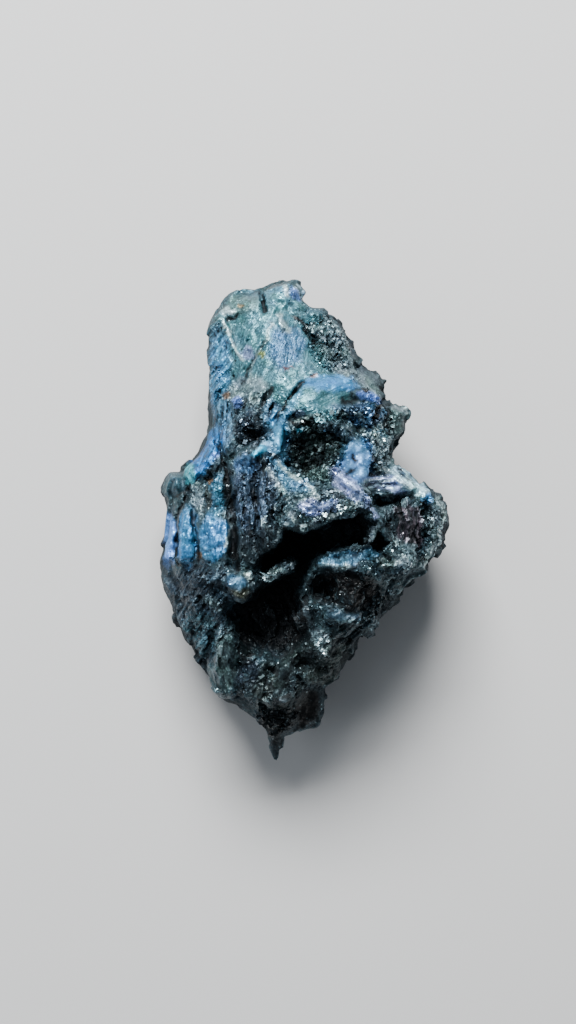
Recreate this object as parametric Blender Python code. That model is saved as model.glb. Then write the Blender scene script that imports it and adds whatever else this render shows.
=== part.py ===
"""A chalcocite specimen: one broken lump of tarnished copper ore, lying on its back.

The lump is modelled in millimetres and scaled to metres at the end. Its long axis runs along Y, its
sculptured face looks up along +Z, and it rests on a flat fracture at Z = 0. In plan it follows an
outline. Above the outline its face is a relief: a broad ground drawn through surveyed heights, then
ledges, hollows, ridges, clefts and nodules set into it one after another. Below the outline its back
is a few fracture planes.
"""

import math

import bmesh
import bpy
import numpy as np
from mathutils import Matrix, Vector, noise

# Driving dimensions, in millimetres
LENGTH = 57.0
WIDTH = 34.3
SLAB_THICKNESS = 24.0
METRES_PER_MM = 0.001

# The seed that every run draws the bends and tilts of the surface from
NOISE_SEED = 7

# The edge of the lump in plan, clockwise, in millimetres from the middle of the plan
CROWN_EDGE = [
    (-11.3, 18.0), (-11.2, 21.0), (-10.9, 23.2), (-10.3, 24.9), (-9.5, 26.1), (-8.5, 27.0),
    (-6.9, 27.7), (-5.6, 27.4), (-4.8, 27.7), (-3.6, 28.3), (-2.2, 28.7), (-0.9, 28.5),
    (0.1, 27.8), (0.2, 27.0), (-0.2, 26.4), (0.9, 25.5), (2.5, 25.1), (3.7, 24.4), (4.9, 22.7),
]
RIGHT_EDGE = [
    (5.6, 21.1), (6.2, 19.8), (7.6, 18.0), (8.9, 17.1), (9.3, 16.1), (10.2, 14.8), (9.7, 14.1),
    (11.1, 14.0), (12.2, 13.4), (12.6, 12.8), (12.1, 11.5), (11.9, 10.4), (10.9, 9.3), (10.5, 8.2),
    (10.8, 6.7), (11.6, 6.5),
]
ARM_EDGE = [
    (12.6, 5.4), (13.8, 4.1), (15.2, 3.5), (16.6, 3.1), (17.0, 1.4), (17.0, -0.6), (16.5, -2.4),
    (16.1, -3.6), (15.2, -4.6), (14.4, -5.7), (12.9, -6.4),
]
LOWER_RIGHT_EDGE = [
    (11.8, -7.9), (11.2, -9.2), (9.9, -10.8), (9.2, -11.6), (8.7, -12.6), (7.3, -13.2), (6.2, -14.3),
    (5.7, -15.4), (4.9, -16.4), (4.6, -17.4), (4.1, -18.5), (2.9, -19.2), (2.4, -20.6), (2.1, -22.8),
    (1.5, -24.2),
]
TIP_EDGE = [
    (-0.6, -24.4), (-1.5, -25.3), (-2.2, -25.8), (-2.5, -26.8), (-2.6, -28.2), (-3.0, -29.5),
    (-3.5, -28.6), (-3.9, -26.9), (-4.7, -25.3), (-5.9, -23.6), (-7.4, -21.9),
]
LEFT_EDGE = [
    (-8.9, -21.6), (-9.9, -21.0), (-10.5, -19.8), (-11.2, -18.4), (-13.0, -16.1), (-14.1, -14.2),
    (-15.0, -12.2), (-15.5, -10.0), (-15.9, -8.4), (-16.7, -6.6), (-17.0, -4.4), (-16.7, -2.2),
    (-16.3, -0.5), (-16.2, 1.6), (-16.6, 3.4), (-16.4, 5.0), (-15.9, 6.1), (-14.3, 6.2), (-13.5, 6.8),
    (-12.2, 8.0), (-11.6, 9.8), (-10.7, 11.5), (-10.7, 13.0), (-11.0, 15.4),
]
OUTLINE = CROWN_EDGE + RIGHT_EDGE + ARM_EDGE + LOWER_RIGHT_EDGE + TIP_EDGE + LEFT_EDGE

# How high the edge runs: a level at the middle of the plan, and its rise for each millimetre in X and Y
EDGE_LEVEL = 8.0
EDGE_RISE = (0.08, 0.07)
# How far in from the edge the face and the back reach their full height, and the share kept at the edge
FACE_SHOULDER = 2.2
BACK_SHOULDER = 8.0
EDGE_SHARE = 0.16

# The broad ground of the face: (x, y, height), read at places that a name describes
GROUND = {
    "crown top": (-2.0, 27.5, 11.5),
    "crown left lobe": (-7.0, 26.3, 11.0),
    "crown left edge": (-10.6, 21.0, 10.2),
    "crown middle": (-5.0, 22.5, 14.4),
    "crown right": (-0.5, 22.0, 14.6),
    "crown far right": (4.2, 22.0, 11.6),
    "crown right foot": (5.6, 18.6, 12.4),
    "crown left foot": (-10.4, 15.5, 11.4),
    "crown foot": (-3.0, 17.6, 16.8),
    "far rim": (8.2, 16.3, 10.8),
    "neck left": (-9.6, 12.0, 12.6),
    "neck": (-6.5, 13.0, 15.6),
    "dome top": (3.0, 16.2, 17.2),
    "dome brow": (3.0, 13.2, 20.0),
    "dome right": (8.0, 13.6, 16.6),
    "knob": (11.4, 12.4, 12.8),
    "ring left": (-3.4, 9.2, 19.4),
    "ring foot": (-1.0, 4.6, 21.2),
    "facet right": (6.4, 7.0, 19.0),
    "side right": (9.7, 7.6, 15.4),
    "lip left": (-1.0, 0.8, 22.6),
    "lip middle": (3.4, 1.8, 23.4),
    "lip right": (6.8, 3.0, 21.8),
    "columns top": (-6.4, 7.4, 18.2),
    "columns": (-5.4, 2.5, 19.8),
    "columns foot": (-5.0, -3.4, 19.6),
    "panel top": (-10.6, 8.0, 14.2),
    "panel": (-10.6, 0.0, 16.8),
    "panel left": (-14.0, -1.5, 14.0),
    "left knob": (-15.4, 4.4, 10.6),
    "left edge": (-16.3, -4.6, 9.8),
    "flank": (-12.5, -9.0, 14.6),
    "flank foot": (-12.4, -14.6, 11.0),
    "stub": (-7.6, -7.2, 18.0),
    "blade": (-8.8, -16.0, 14.4),
    "blade foot": (-8.8, -20.6, 10.4),
    "belly": (-3.6, -11.0, 13.6),
    "keel": (-4.6, -18.4, 12.6),
    "keel foot": (-3.2, -23.0, 10.0),
    "tip": (-3.2, -27.4, 6.6),
    "heel": (1.2, -22.4, 9.0),
    "heel top": (2.6, -17.6, 12.2),
    "gallery": (4.6, -4.4, 20.0),
    "nodules": (6.2, -8.0, 18.2),
    "crag": (2.4, -14.0, 17.2),
    "step": (5.2, -11.6, 16.8),
    "lower right": (9.6, -9.8, 12.8),
    "arm foot": (11.2, -4.4, 18.2),
    "arm shell": (12.0, 0.4, 18.6),
    "arm end": (15.8, 0.0, 13.2),
    "arm top": (11.4, 4.8, 16.4),
}

# Ground with a level of its own: the corners in plan, the level at their middle, the rise in X and Y,
# the width of the slope round it, and how far its middle swells
LEDGES = {
    "crown left facet": (
        [(-9.4, 25.0), (-8.9, 22.8), (-8.2, 20.8), (-7.2, 19.2), (-7.9, 16.0), (-8.6, 12.6),
         (-11.0, 12.0), (-12.0, 18.0), (-11.6, 23.5)],
        12.0, (0.85, -0.10), 0.35, 0.3,
    ),
    "dark patch": (
        [(-0.8, 24.8), (0.2, 24.0), (0.4, 22.4), (1.4, 21.2), (1.9, 19.2), (4.2, 17.7), (6.2, 17.2),
         (5.7, 20.4), (4.7, 22.6), (3.4, 24.2), (1.4, 25.0)],
        11.9, (-0.35, -0.42), 0.5, 0.0,
    ),
    "far rim": (
        [(6.5, 17.2), (7.6, 18.0), (9.0, 17.2), (9.6, 16.0), (10.4, 14.8), (9.2, 14.4), (7.8, 14.8)],
        11.6, (-0.35, -0.30), 0.6, 0.4,
    ),
    "dome": (
        [(-1.7, 12.9), (-1.2, 14.6), (-0.2, 15.9), (1.3, 16.8), (3.6, 17.2), (6.3, 17.0), (6.7, 15.4),
         (9.2, 14.5), (8.9, 13.5), (6.0, 13.7), (3.8, 13.2), (2.8, 12.3), (0.8, 12.0), (-1.4, 11.7)],
        18.9, (-0.22, -0.62), 0.45, 0.9,
    ),
    "arm crust": (
        [(9.6, 14.2), (11.1, 14.2), (12.4, 13.6), (12.8, 12.8), (12.2, 11.2), (11.8, 9.9), (10.4, 9.4),
         (9.8, 11.0)],
        13.0, (-0.20, -0.05), 0.45, 1.2,
    ),
    "blue facet": (
        [(4.6, 8.6), (5.6, 9.7), (7.0, 9.4), (8.4, 8.4), (8.0, 7.0), (7.8, 5.6), (7.0, 4.5), (6.0, 5.0),
         (4.2, 6.1), (3.8, 7.2)],
        19.0, (-0.42, -0.40), 0.4, 0.2,
    ),
    "lip": (
        [(-3.2, 3.4), (-2.6, 0.4), (-1.4, -0.4), (0.4, -0.3), (1.6, 0.1), (3.6, 0.6), (5.3, 1.1),
         (6.9, 2.2), (7.2, 3.0), (5.8, 3.6), (4.2, 4.6), (3.0, 4.4), (1.4, 3.4), (0.0, 3.6), (-1.8, 4.0)],
        22.9, (-0.05, -0.34), 0.45, 0.3,
    ),
    "arm top": (
        [(7.0, 4.3), (7.9, 5.0), (10.2, 4.9), (10.7, 6.0), (11.6, 6.6), (13.9, 4.2), (15.2, 3.4),
         (14.2, 2.6), (12.6, 3.2), (11.6, 3.8), (9.8, 3.2), (8.4, 3.0)],
        18.0, (-0.28, -0.75), 0.4, 0.2,
    ),
    "arm shell": (
        [(9.4, 2.0), (10.8, 2.2), (12.0, 2.9), (13.4, 2.4), (14.2, 0.8), (14.0, -1.4), (13.4, -3.2),
         (12.6, -2.6), (11.8, -1.8), (10.6, -2.4), (9.8, -1.6), (9.3, 0.2)],
        17.8, (-0.35, 0.05), 0.5, 1.0,
    ),
    "arm foot": (
        [(9.2, -5.6), (9.2, -4.5), (10.6, -3.2), (11.7, -1.9), (12.7, -3.0), (13.1, -4.6), (12.2, -5.9),
         (10.6, -6.2)],
        18.4, (-0.30, -0.50), 0.5, 0.8,
    ),
    "gallery": (
        [(1.2, -4.8), (2.4, -4.0), (4.0, -3.7), (6.0, -3.1), (7.5, -2.9), (8.7, -3.8), (8.7, -4.8),
         (7.6, -5.4), (5.8, -5.6), (4.0, -5.4), (2.4, -5.1)],
        19.8, (-0.10, -0.85), 0.4, 0.3,
    ),
    "step": (
        [(2.9, -10.6), (4.6, -10.2), (6.8, -10.4), (6.3, -11.6), (3.7, -11.7)],
        17.6, (-0.12, -0.70), 0.25, 0.0,
    ),
    "crag": (
        [(1.2, -12.0), (2.4, -11.6), (3.6, -12.4), (3.6, -14.0), (3.0, -15.6), (2.4, -16.1), (1.6, -15.2),
         (1.2, -13.8)],
        17.8, (-0.30, -0.10), 0.4, 0.6,
    ),
    "stub": (
        [(-8.9, -7.0), (-8.3, -6.0), (-7.0, -5.9), (-5.8, -6.4), (-6.2, -8.2), (-6.9, -9.1), (-7.9, -8.6)],
        19.4, (-0.05, -0.60), 0.3, 0.0,
    ),
    "panel": (
        [(-12.6, 0.8), (-10.9, 1.0), (-9.2, 0.7), (-8.7, -0.4), (-8.6, -3.4), (-9.4, -4.6), (-11.6, -4.3),
         (-12.2, -2.6)],
        17.4, (0.30, -0.10), 0.3, 0.2,
    ),
    "panel strip": (
        [(-13.6, 2.2), (-12.9, 1.6), (-12.4, -0.6), (-12.4, -4.4), (-14.5, -4.8), (-14.6, -1.0)],
        15.6, (0.30, 0.0), 0.3, 0.3,
    ),
    "outer strip": (
        [(-15.6, 1.5), (-15.3, -0.8), (-15.4, -4.3), (-17.4, -4.6), (-17.2, -1.0), (-16.8, 1.4)],
        12.0, (0.95, 0.0), 0.4, 0.3,
    ),
    "tongue": (
        [(-10.7, 11.0), (-10.0, 9.9), (-9.5, 8.0), (-9.6, 6.6), (-11.2, 5.2), (-12.8, 4.4), (-13.0, 6.4),
         (-12.0, 8.4), (-11.4, 10.2)],
        14.6, (0.55, -0.30), 0.35, 0.5,
    ),
    "left knob": (
        [(-16.8, 4.4), (-16.2, 6.2), (-14.6, 6.5), (-13.6, 5.4), (-13.7, 3.6), (-15.0, 2.6), (-16.6, 2.6)],
        11.6, (0.30, 0.0), 0.5, 2.2,
    ),
    "blade": (
        [(-9.5, -12.3), (-8.6, -13.4), (-7.6, -16.0), (-7.2, -19.0), (-8.0, -21.4), (-10.0, -21.0),
         (-10.6, -18.6), (-9.9, -15.0)],
        14.2, (-0.35, 0.42), 0.35, 0.3,
    ),
    "keel": (
        [(-1.0, -15.6), (-0.6, -17.0), (-1.4, -20.0), (-3.8, -21.6), (-5.4, -21.0), (-3.6, -18.6),
         (-2.4, -16.4)],
        14.6, (-0.15, 0.50), 0.5, 0.5,
    ),
    "heel top": (
        [(-0.8, -17.2), (1.6, -17.0), (4.4, -17.3), (4.3, -18.6), (2.8, -19.3), (0.4, -19.0)],
        13.8, (-0.45, -0.25), 0.4, 0.2,
    ),
}

# Hollows: the corners in plan, the level of the floor, its rise in X and Y, and the width of the walls
HOLLOWS = {
    "cleft": (
        [(-8.1, 11.5), (-6.6, 11.4), (-4.8, 11.4), (-3.4, 11.0), (-3.6, 10.2), (-4.6, 9.2), (-6.0, 8.6),
         (-7.2, 8.2), (-7.6, 9.4)],
        11.4, (0.15, 0.0), 0.35,
    ),
    "cleft slot": (
        [(-5.0, 15.4), (-3.4, 15.7), (-3.8, 14.4), (-4.4, 12.9), (-5.0, 11.2), (-5.6, 12.6), (-5.4, 14.0)],
        13.0, (0.0, 0.2), 0.3,
    ),
    "cleft splinter": (
        [(-3.9, 14.0), (-2.8, 13.9), (-3.5, 12.4), (-4.3, 11.6)],
        14.2, (0.0, 0.2), 0.25,
    ),
    "cleft crumble": (
        [(-7.9, 13.6), (-6.4, 13.4), (-6.2, 12.2), (-7.6, 12.0)],
        13.8, (0.0, 0.2), 0.3,
    ),
    "bowl": (
        [(-2.3, 10.6), (-1.4, 11.9), (0.4, 12.2), (2.2, 11.9), (4.0, 12.1), (5.7, 11.6), (6.0, 10.0),
         (4.9, 8.6), (3.8, 7.2), (3.6, 5.8), (2.4, 4.6), (0.6, 4.4), (-0.8, 4.9), (-2.0, 6.0),
         (-3.0, 7.2), (-2.7, 8.8)],
        15.6, (-0.08, -0.25), 0.45,
    ),
    "side pits": (
        [(7.9, 13.4), (8.8, 13.2), (8.9, 11.8), (8.0, 11.6)],
        13.6, (0.0, 0.0), 0.4,
    ),
    "great cave": (
        [(-5.2, -4.6), (-4.4, -3.2), (-3.6, -3.5), (-3.0, -2.8), (-2.2, -1.0), (-1.5, 0.0), (-1.0, -0.6),
         (0.2, -1.2), (1.2, -0.3), (3.2, 0.2), (4.2, 0.8), (5.6, 0.9), (6.8, 1.6), (7.6, 0.4), (8.6, 0.5),
         (9.2, -0.4), (9.6, -1.9), (10.2, -2.6), (9.2, -3.6), (8.6, -3.8), (7.5, -2.8), (6.2, -2.8),
         (4.0, -3.4), (2.0, -4.0), (1.2, -4.8), (0.8, -6.6), (-1.6, -7.2), (-4.4, -7.6), (-5.6, -6.4)],
        11.6, (0.10, 0.05), 0.4,
    ),
    "arm cave": (
        [(7.6, 3.4), (9.2, 3.0), (10.6, 3.4), (12.0, 3.8), (11.9, 2.8), (10.9, 1.9), (9.6, 1.5), (9.0, 0.6),
         (8.4, 1.2)],
        12.8, (0.0, 0.0), 0.3,
    ),
    "great hollow": (
        [(-9.4, -9.8), (-7.8, -9.2), (-6.0, -8.8), (-5.2, -6.6), (-2.8, -6.4), (-0.8, -5.8), (0.6, -6.4),
         (0.3, -7.8), (-0.5, -8.8), (0.1, -9.8), (-0.5, -11.0), (0.5, -12.0), (0.9, -13.2), (0.1, -14.4),
         (-1.0, -15.8), (-2.6, -16.6), (-5.2, -15.4), (-7.2, -14.6), (-8.2, -13.0), (-9.0, -11.4)],
        10.6, (-0.10, -0.05), 0.6,
    ),
    "under gallery": (
        [(1.6, -9.6), (1.4, -7.0), (1.8, -5.9), (3.8, -6.0), (4.4, -7.4), (4.0, -9.4), (2.8, -10.0)],
        12.4, (0.0, 0.0), 0.5,
    ),
    "under nodules": (
        [(6.8, -7.8), (8.6, -7.6), (9.0, -8.8), (7.8, -10.0), (6.0, -9.9), (6.0, -9.2)],
        14.0, (0.0, 0.0), 0.5,
    ),
    "under step": (
        [(3.6, -11.9), (6.4, -11.8), (6.6, -12.5), (3.9, -12.6)],
        15.0, (-0.2, 0.0), 0.3,
    ),
    "under crag": (
        [(0.9, -15.6), (2.2, -16.5), (3.6, -16.0), (4.4, -16.4), (3.8, -17.1), (1.2, -17.0)],
        12.2, (-0.1, 0.0), 0.4,
    ),
    "heel": (
        [(-0.2, -20.0), (0.8, -19.6), (2.8, -19.9), (2.6, -22.6), (2.2, -24.6), (-0.6, -24.8),
         (-1.2, -22.6)],
        8.6, (-0.15, 0.25), 0.6,
    ),
}

# Narrow clefts and thin ridges: the line in plan, the half width, and the lift (a cleft's is negative)
LINES = {
    "crown seam": ([(-9.3, 24.6), (-8.8, 22.7), (-8.2, 20.9), (-7.1, 19.3)], 0.35, 0.5),
    "crown notch": ([(-4.9, 28.2), (-4.7, 26.8), (-4.5, 25.8), (-4.3, 24.4)], 0.55, -2.6),
    "crown crack": ([(-4.2, 21.4), (-5.0, 19.9), (-5.9, 18.2), (-6.8, 16.4)], 0.35, -1.0),
    "crown fold": ([(-2.5, 24.2), (-2.4, 23.2), (-2.0, 22.2)], 0.45, 0.4),
    "dome cleft": (
        [(0.6, 16.7), (-0.4, 15.9), (-1.4, 14.8), (-2.3, 13.4), (-3.3, 12.0), (-3.8, 11.0)],
        0.50, -3.2,
    ),
    "ring": (
        [(-1.6, 12.4), (-2.9, 10.6), (-3.5, 8.8), (-3.6, 7.2), (-2.8, 5.5), (-1.4, 4.4), (0.4, 3.6),
         (1.6, 3.2), (2.4, 2.6)],
        0.95, 1.4,
    ),
    "ring arm": ([(-3.4, 9.0), (-4.8, 8.5), (-6.4, 7.9), (-7.6, 7.4)], 0.55, 1.0),
    "lilac ridge": ([(3.3, 6.0), (4.4, 5.1), (5.6, 4.1), (6.9, 3.0), (7.6, 1.8), (8.4, 0.7)], 0.6, 1.1),
    "pillar": ([(8.6, -0.2), (7.9, -1.1), (7.5, -2.2), (7.3, -3.6)], 0.6, 5.0),
    "column 1": ([(-7.1, 6.9), (-7.4, 4.0), (-7.1, 1.0), (-6.9, -1.6), (-6.7, -4.4)], 0.55, 1.3),
    "column 2": ([(-5.9, 7.0), (-6.3, 4.6), (-6.0, 1.4), (-5.9, -0.6)], 0.5, 1.0),
    "column 3": ([(-4.6, 5.4), (-4.7, 2.6), (-4.4, 0.6), (-4.0, -3.2)], 0.55, 1.4),
    "column 4": ([(-3.2, 4.2), (-3.3, 2.4), (-3.0, 0.6), (-2.8, -2.8)], 0.5, 1.3),
    "column slot": ([(-5.5, 4.8), (-5.4, 3.0), (-5.4, 1.4)], 0.60, -3.0),
    "column slot 2": ([(-6.7, 5.6), (-6.8, 2.6), (-6.6, -1.0), (-6.4, -4.4)], 0.40, -1.4),
    "column slot 3": ([(-4.0, 4.0), (-3.8, 1.4), (-3.4, -1.8)], 0.50, -2.0),
    "column slot 4": ([(-5.2, 1.0), (-5.2, -1.2), (-5.0, -4.2)], 0.60, -2.4),
    "torso shade": ([(-2.2, 3.4), (-2.0, 1.8), (-2.4, 0.2)], 0.70, -1.8),
    "panel slot": ([(-8.7, 7.0), (-8.8, 5.0), (-8.5, 2.8), (-8.2, 0.4)], 0.85, -3.8),
    "panel slot foot": ([(-8.1, 1.0), (-8.0, -1.8), (-7.8, -5.8)], 0.80, -4.0),
    "tongue cleft": ([(-10.5, 10.6), (-9.6, 8.6), (-9.2, 7.2), (-9.0, 5.4)], 0.55, -2.4),
    "strip slot": ([(-12.8, 4.8), (-13.9, 2.2), (-14.9, 0.4), (-15.1, -2.2), (-15.0, -5.4)], 0.70, -2.8),
    "inner slot": ([(-12.9, 4.8), (-12.8, 1.6), (-12.5, 0.0), (-12.2, -1.8), (-12.1, -5.0)], 0.55, -1.5),
    "olive slot": ([(-11.2, 5.4), (-11.1, 3.0), (-10.8, 0.8)], 0.60, -1.8),
    "tongue step": ([(-11.4, 5.0), (-10.2, 5.4), (-9.2, 6.2)], 0.35, -1.0),
    "granular ridge": ([(-5.0, -7.4), (-3.8, -6.0), (-2.6, -5.6), (-1.4, -5.1), (-0.5, -4.0)], 0.75, 4.4),
    "flank crag": ([(-10.6, -8.6), (-10.0, -9.6), (-9.4, -10.6)], 0.5, 0.9),
    "blade crest": ([(-9.5, -11.9), (-9.8, -14.5), (-10.3, -16.8), (-11.0, -18.8)], 0.50, 1.4),
    "blade cleft": ([(-10.4, -11.8), (-10.9, -15.0), (-11.7, -17.6)], 0.70, -1.8),
    "shell groove 1": ([(10.9, 2.2), (11.3, 0.4), (11.2, -1.8)], 0.45, -1.3),
    "shell groove 2": ([(12.4, 2.8), (12.9, 0.4), (12.9, -2.6)], 0.45, -1.5),
    "shell groove 3": ([(13.7, 2.8), (14.3, 0.0), (14.0, -4.0)], 0.45, -1.4),
    "lilac fold": ([(7.6, 3.7), (9.4, 4.0), (11.4, 4.4)], 0.40, -0.8),
    "gallery cleft": ([(9.0, -3.9), (8.9, -5.4), (9.2, -6.6)], 0.35, -1.6),
    "hollow fold 1": ([(-6.8, -10.4), (-6.2, -12.2), (-6.4, -14.2)], 0.6, 0.9),
    "hollow fold 2": ([(-2.6, -9.2), (-2.0, -11.4), (-2.6, -13.8)], 0.6, 0.9),
}

# Angular nodules: the middle in plan, the two half widths, the turn in degrees, and the lift
NODULE_SIDES = 5
NODULES = {
    "crown left lobe": ((-7.0, 25.6), (2.4, 1.8), 0, 0.7),
    "crown right lobe": ((-1.6, 26.8), (2.2, 1.5), -10, 0.8),
    "crown beak": ((-0.9, 27.2), (0.9, 0.8), 0, 0.5),
    "lobe grain": ((-8.6, 24.9), (0.9, 0.6), -30, 0.7),
    "patch lump 1": ((1.4, 22.8), (0.8, 0.6), 40, 0.8),
    "patch lump 2": ((3.2, 22.4), (0.9, 0.7), 20, 0.8),
    "patch lump 3": ((3.2, 20.2), (1.2, 0.9), -40, 0.7),
    "bead": ((-7.5, 14.2), (0.75, 0.75), 0, 0.6),
    "neck lump": ((-6.6, 12.4), (1.0, 0.7), 60, 0.7),
    "cleft lump": ((-5.4, 10.9), (0.9, 0.45), 10, 1.8),
    "neck rib": ((-8.3, 9.2), (0.8, 1.5), -35, 0.7),
    "side lump 1": ((7.0, 11.6), (0.9, 0.8), 0, 1.0),
    "side lump 2": ((7.2, 12.9), (0.8, 0.7), 0, 0.9),
    "side lump 3": ((9.0, 10.2), (0.9, 0.8), 0, 1.0),
    "side lump 4": ((9.3, 8.4), (0.9, 0.9), 0, 0.9),
    "side lump 5": ((9.0, 6.6), (0.9, 0.8), 0, 0.9),
    "bowl lump 1": ((-0.6, 10.4), (1.2, 0.9), 10, 2.4),
    "bowl lump 2": ((2.8, 10.9), (1.7, 0.9), 0, 2.4),
    "bowl lump 3": ((1.8, 5.8), (1.4, 1.0), 15, 2.2),
    "bowl lump 4": ((4.4, 7.8), (1.2, 1.1), 0, 1.8),
    "bowl lump 5": ((0.3, 7.8), (1.3, 1.0), 30, 1.0),
    "bowl lump 6": ((4.7, 10.1), (1.1, 0.9), 30, 1.6),
    "lip bead 1": ((0.9, 1.7), (0.8, 0.7), 0, 0.6),
    "lip bead 2": ((2.3, 1.9), (0.7, 0.7), 0, 0.6),
    "lip drip 1": ((0.2, -0.9), (0.6, 0.6), -30, 2.4),
    "lip drip 2": ((-2.0, -0.2), (0.5, 0.9), 20, 1.0),
    "cave lump": ((5.9, -0.6), (0.8, 0.7), 0, 1.6),
    "arm bead": ((14.4, 2.6), (0.7, 0.6), 0, 0.7),
    "arm lump 1": ((15.8, 1.8), (0.9, 0.8), 0, 0.7),
    "arm lump 2": ((15.4, -1.4), (1.0, 0.8), 40, 0.7),
    "arm lump 3": ((14.8, -3.6), (0.9, 0.9), 0, 0.8),
    "arm lump 4": ((13.6, -5.4), (0.9, 0.6), 10, 0.8),
    "teal lobe": ((-13.1, 5.7), (0.75, 1.2), 10, 1.0),
    "gallery nodule 1": ((7.4, -5.8), (0.95, 0.8), 0, 2.2),
    "gallery nodule 2": ((5.4, -7.8), (1.4, 1.2), 20, 1.6),
    "gallery nodule 3": ((8.3, -6.6), (1.0, 0.8), 30, 1.6),
    "hollow nodule 1": ((0.6, -6.4), (0.8, 1.0), 0, 1.8),
    "hollow nodule 2": ((0.5, -10.2), (0.8, 1.4), -10, 1.8),
    "hollow nodule 3": ((-5.6, -9.2), (1.0, 0.7), 20, 1.2),
    "lower lump 1": ((8.0, -11.4), (1.2, 0.8), -30, 0.8),
    "lower lump 2": ((9.8, -8.2), (0.8, 1.1), -20, 0.8),
    "keel lump 1": ((-5.0, -17.2), (1.5, 0.9), 50, 0.9),
    "keel lump 2": ((-6.3, -19.4), (1.0, 0.8), 0, 0.8),
    "keel lump 3": ((-2.4, -21.0), (0.7, 0.6), 0, 0.8),
    "flank knot": ((-10.2, -6.6), (1.1, 0.7), 20, 0.7),
    "flank lump": ((-14.9, -4.9), (0.6, 0.6), 0, 0.8),
}

# Fracture facets over the whole lump: their size, their slope either way, their step either way
FACETS = (3.4, 0.20, 0.18)
# Sugary ore, broken into small blocks: the middle in plan, the two half widths, the turn, the strength
SUGARY = [
    ((3.0, 21.0), (3.0, 4.4), 25, 1.0),
    ((1.4, 8.2), (4.6, 4.2), 0, 1.0),
    ((8.6, 9.4), (3.0, 5.4), 0, 1.0),
    ((3.6, 1.8), (5.6, 1.9), 12, 0.9),
    ((15.4, -0.8), (2.4, 5.2), 0, 0.9),
    ((11.2, -4.4), (2.2, 1.9), 0, 0.8),
    ((4.4, -5.6), (5.0, 2.2), 0, 0.7),
    ((4.6, -13.2), (4.6, 4.4), 0, 0.9),
    ((-5.2, -18.8), (3.4, 2.8), 0, 0.9),
    ((-3.0, -4.2), (3.6, 3.0), 20, 1.0),
    ((-6.0, 11.6), (2.6, 3.8), 0, 1.0),
    ((9.8, -9.2), (3.0, 3.4), 0, 0.8),
    ((-8.0, -19.0), (3.0, 3.4), 0, 0.6),
    ((-3.0, -23.6), (4.0, 3.0), 0, 0.7),
    ((-3.0, -11.0), (4.8, 4.0), 0, 0.6),
    ((-9.6, -8.4), (1.8, 2.6), 0, 0.8),
]
SUGARY_BLOCKS = (1.35, 0.85, 0.55)
FLANK_BLOCKS = 0.4
# The flanks are smooth up to this X on the left, and fully jagged from this X on the right
JAGGED_FROM_TO = (-8.0, 2.0)
# Columnar ore, split into upright staves: the same, with how many times longer than wide a stave is
COLUMNAR = [
    ((-5.4, 2.0), (3.8, 7.0), 0, 0.7),
    ((-12.4, 0.4), (5.2, 6.0), 0, 0.2),
    ((12.0, -0.4), (3.2, 4.0), -15, 0.7),
    ((-8.8, -15.6), (2.2, 4.6), -10, 0.6),
]
COLUMNAR_STAVES = (1.15, 0.60, 0.65)
STAVE_STRETCH = 4.0

# Wandering of every edge and line, and swells of the whole surface, both as (size, reach)
WANDER = [(2.6, 0.45), (0.9, 0.20)]
SWELLS = [(5.0, 0.40), (1.8, 0.12)]

# The back's fracture planes: a point's height at the middle of the plan, and the rise in X and Y
BACK_PLANES = [
    (0.0, (0.0, 0.0)),
    (-3.6, (0.42, 0.10)),
    (-3.9, (-0.46, -0.05)),
    (-4.6, (0.05, 0.30)),
    (-4.9, (-0.06, -0.33)),
    (-5.4, (0.38, -0.26)),
    (-5.6, (-0.33, 0.28)),
]
BACK_PITS = [
    ((2.5, 4.0), (3.4, 2.2), 30, -1.4),
    ((-6.5, -7.5), (2.6, 3.4), 10, -1.6),
    ((-3.0, 13.0), (3.0, 2.4), -20, -1.2),
    ((7.5, -5.0), (2.4, 2.0), 0, -1.2),
    ((0.5, -15.0), (2.6, 2.2), 40, -1.0),
]

# Sizes of the working meshes, in millimetres, and the number of triangles in the finished lump
BLANK_VOXEL = 0.4
RELIEF_VOXEL = 0.4
FINISH_VOXEL = 0.3
TRIANGLES = 9700
FACE_KEEPS = 0.8
THINNING_WEIGHT = 0.02
REST_LEVEL = 0.3

ORE_COLOUR = (0.035, 0.055, 0.075, 1.0)
ORE_METALLIC = 0.75
ORE_ROUGHNESS = 0.42


def clear_scene():
    """Removes every object of the scene that Blender starts with."""
    for old in list(bpy.data.objects):
        bpy.data.objects.remove(old)


def ease(low, high, value):
    """0 below low, 1 above high, and a smooth rise between them."""
    share = np.clip((value - low) / (high - low), 0.0, 1.0)
    return share * share * (3.0 - 2.0 * share)


def distance_to_line(x, y, line):
    """The distance in plan from each point to a line of straight runs, and how far along it, 0 to 1."""
    nearest = np.full(x.shape, np.inf)
    along = np.zeros(x.shape)
    runs = len(line) - 1
    for index in range(runs):
        (x0, y0), (x1, y1) = line[index], line[index + 1]
        dx, dy = x1 - x0, y1 - y0
        share = np.clip(((x - x0) * dx + (y - y0) * dy) / (dx * dx + dy * dy), 0.0, 1.0)
        distance = np.hypot(x - x0 - share * dx, y - y0 - share * dy)
        closer = distance < nearest
        nearest = np.where(closer, distance, nearest)
        along = np.where(closer, (index + share) / runs, along)
    return nearest, along


def depth_inside(x, y, corners):
    """How far each point lies inside a closed outline in plan: positive inside, negative outside."""
    closed = list(corners) + [corners[0]]
    distance, _ = distance_to_line(x, y, closed)
    inside = np.zeros(x.shape, bool)
    for (x0, y0), (x1, y1) in zip(closed, closed[1:]):
        if y0 == y1:
            continue
        crosses = (y0 > y) != (y1 > y)
        inside ^= crosses & (x < (x1 - x0) * (y - y0) / (y1 - y0) + x0)
    return np.where(inside, distance, -distance)


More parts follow.
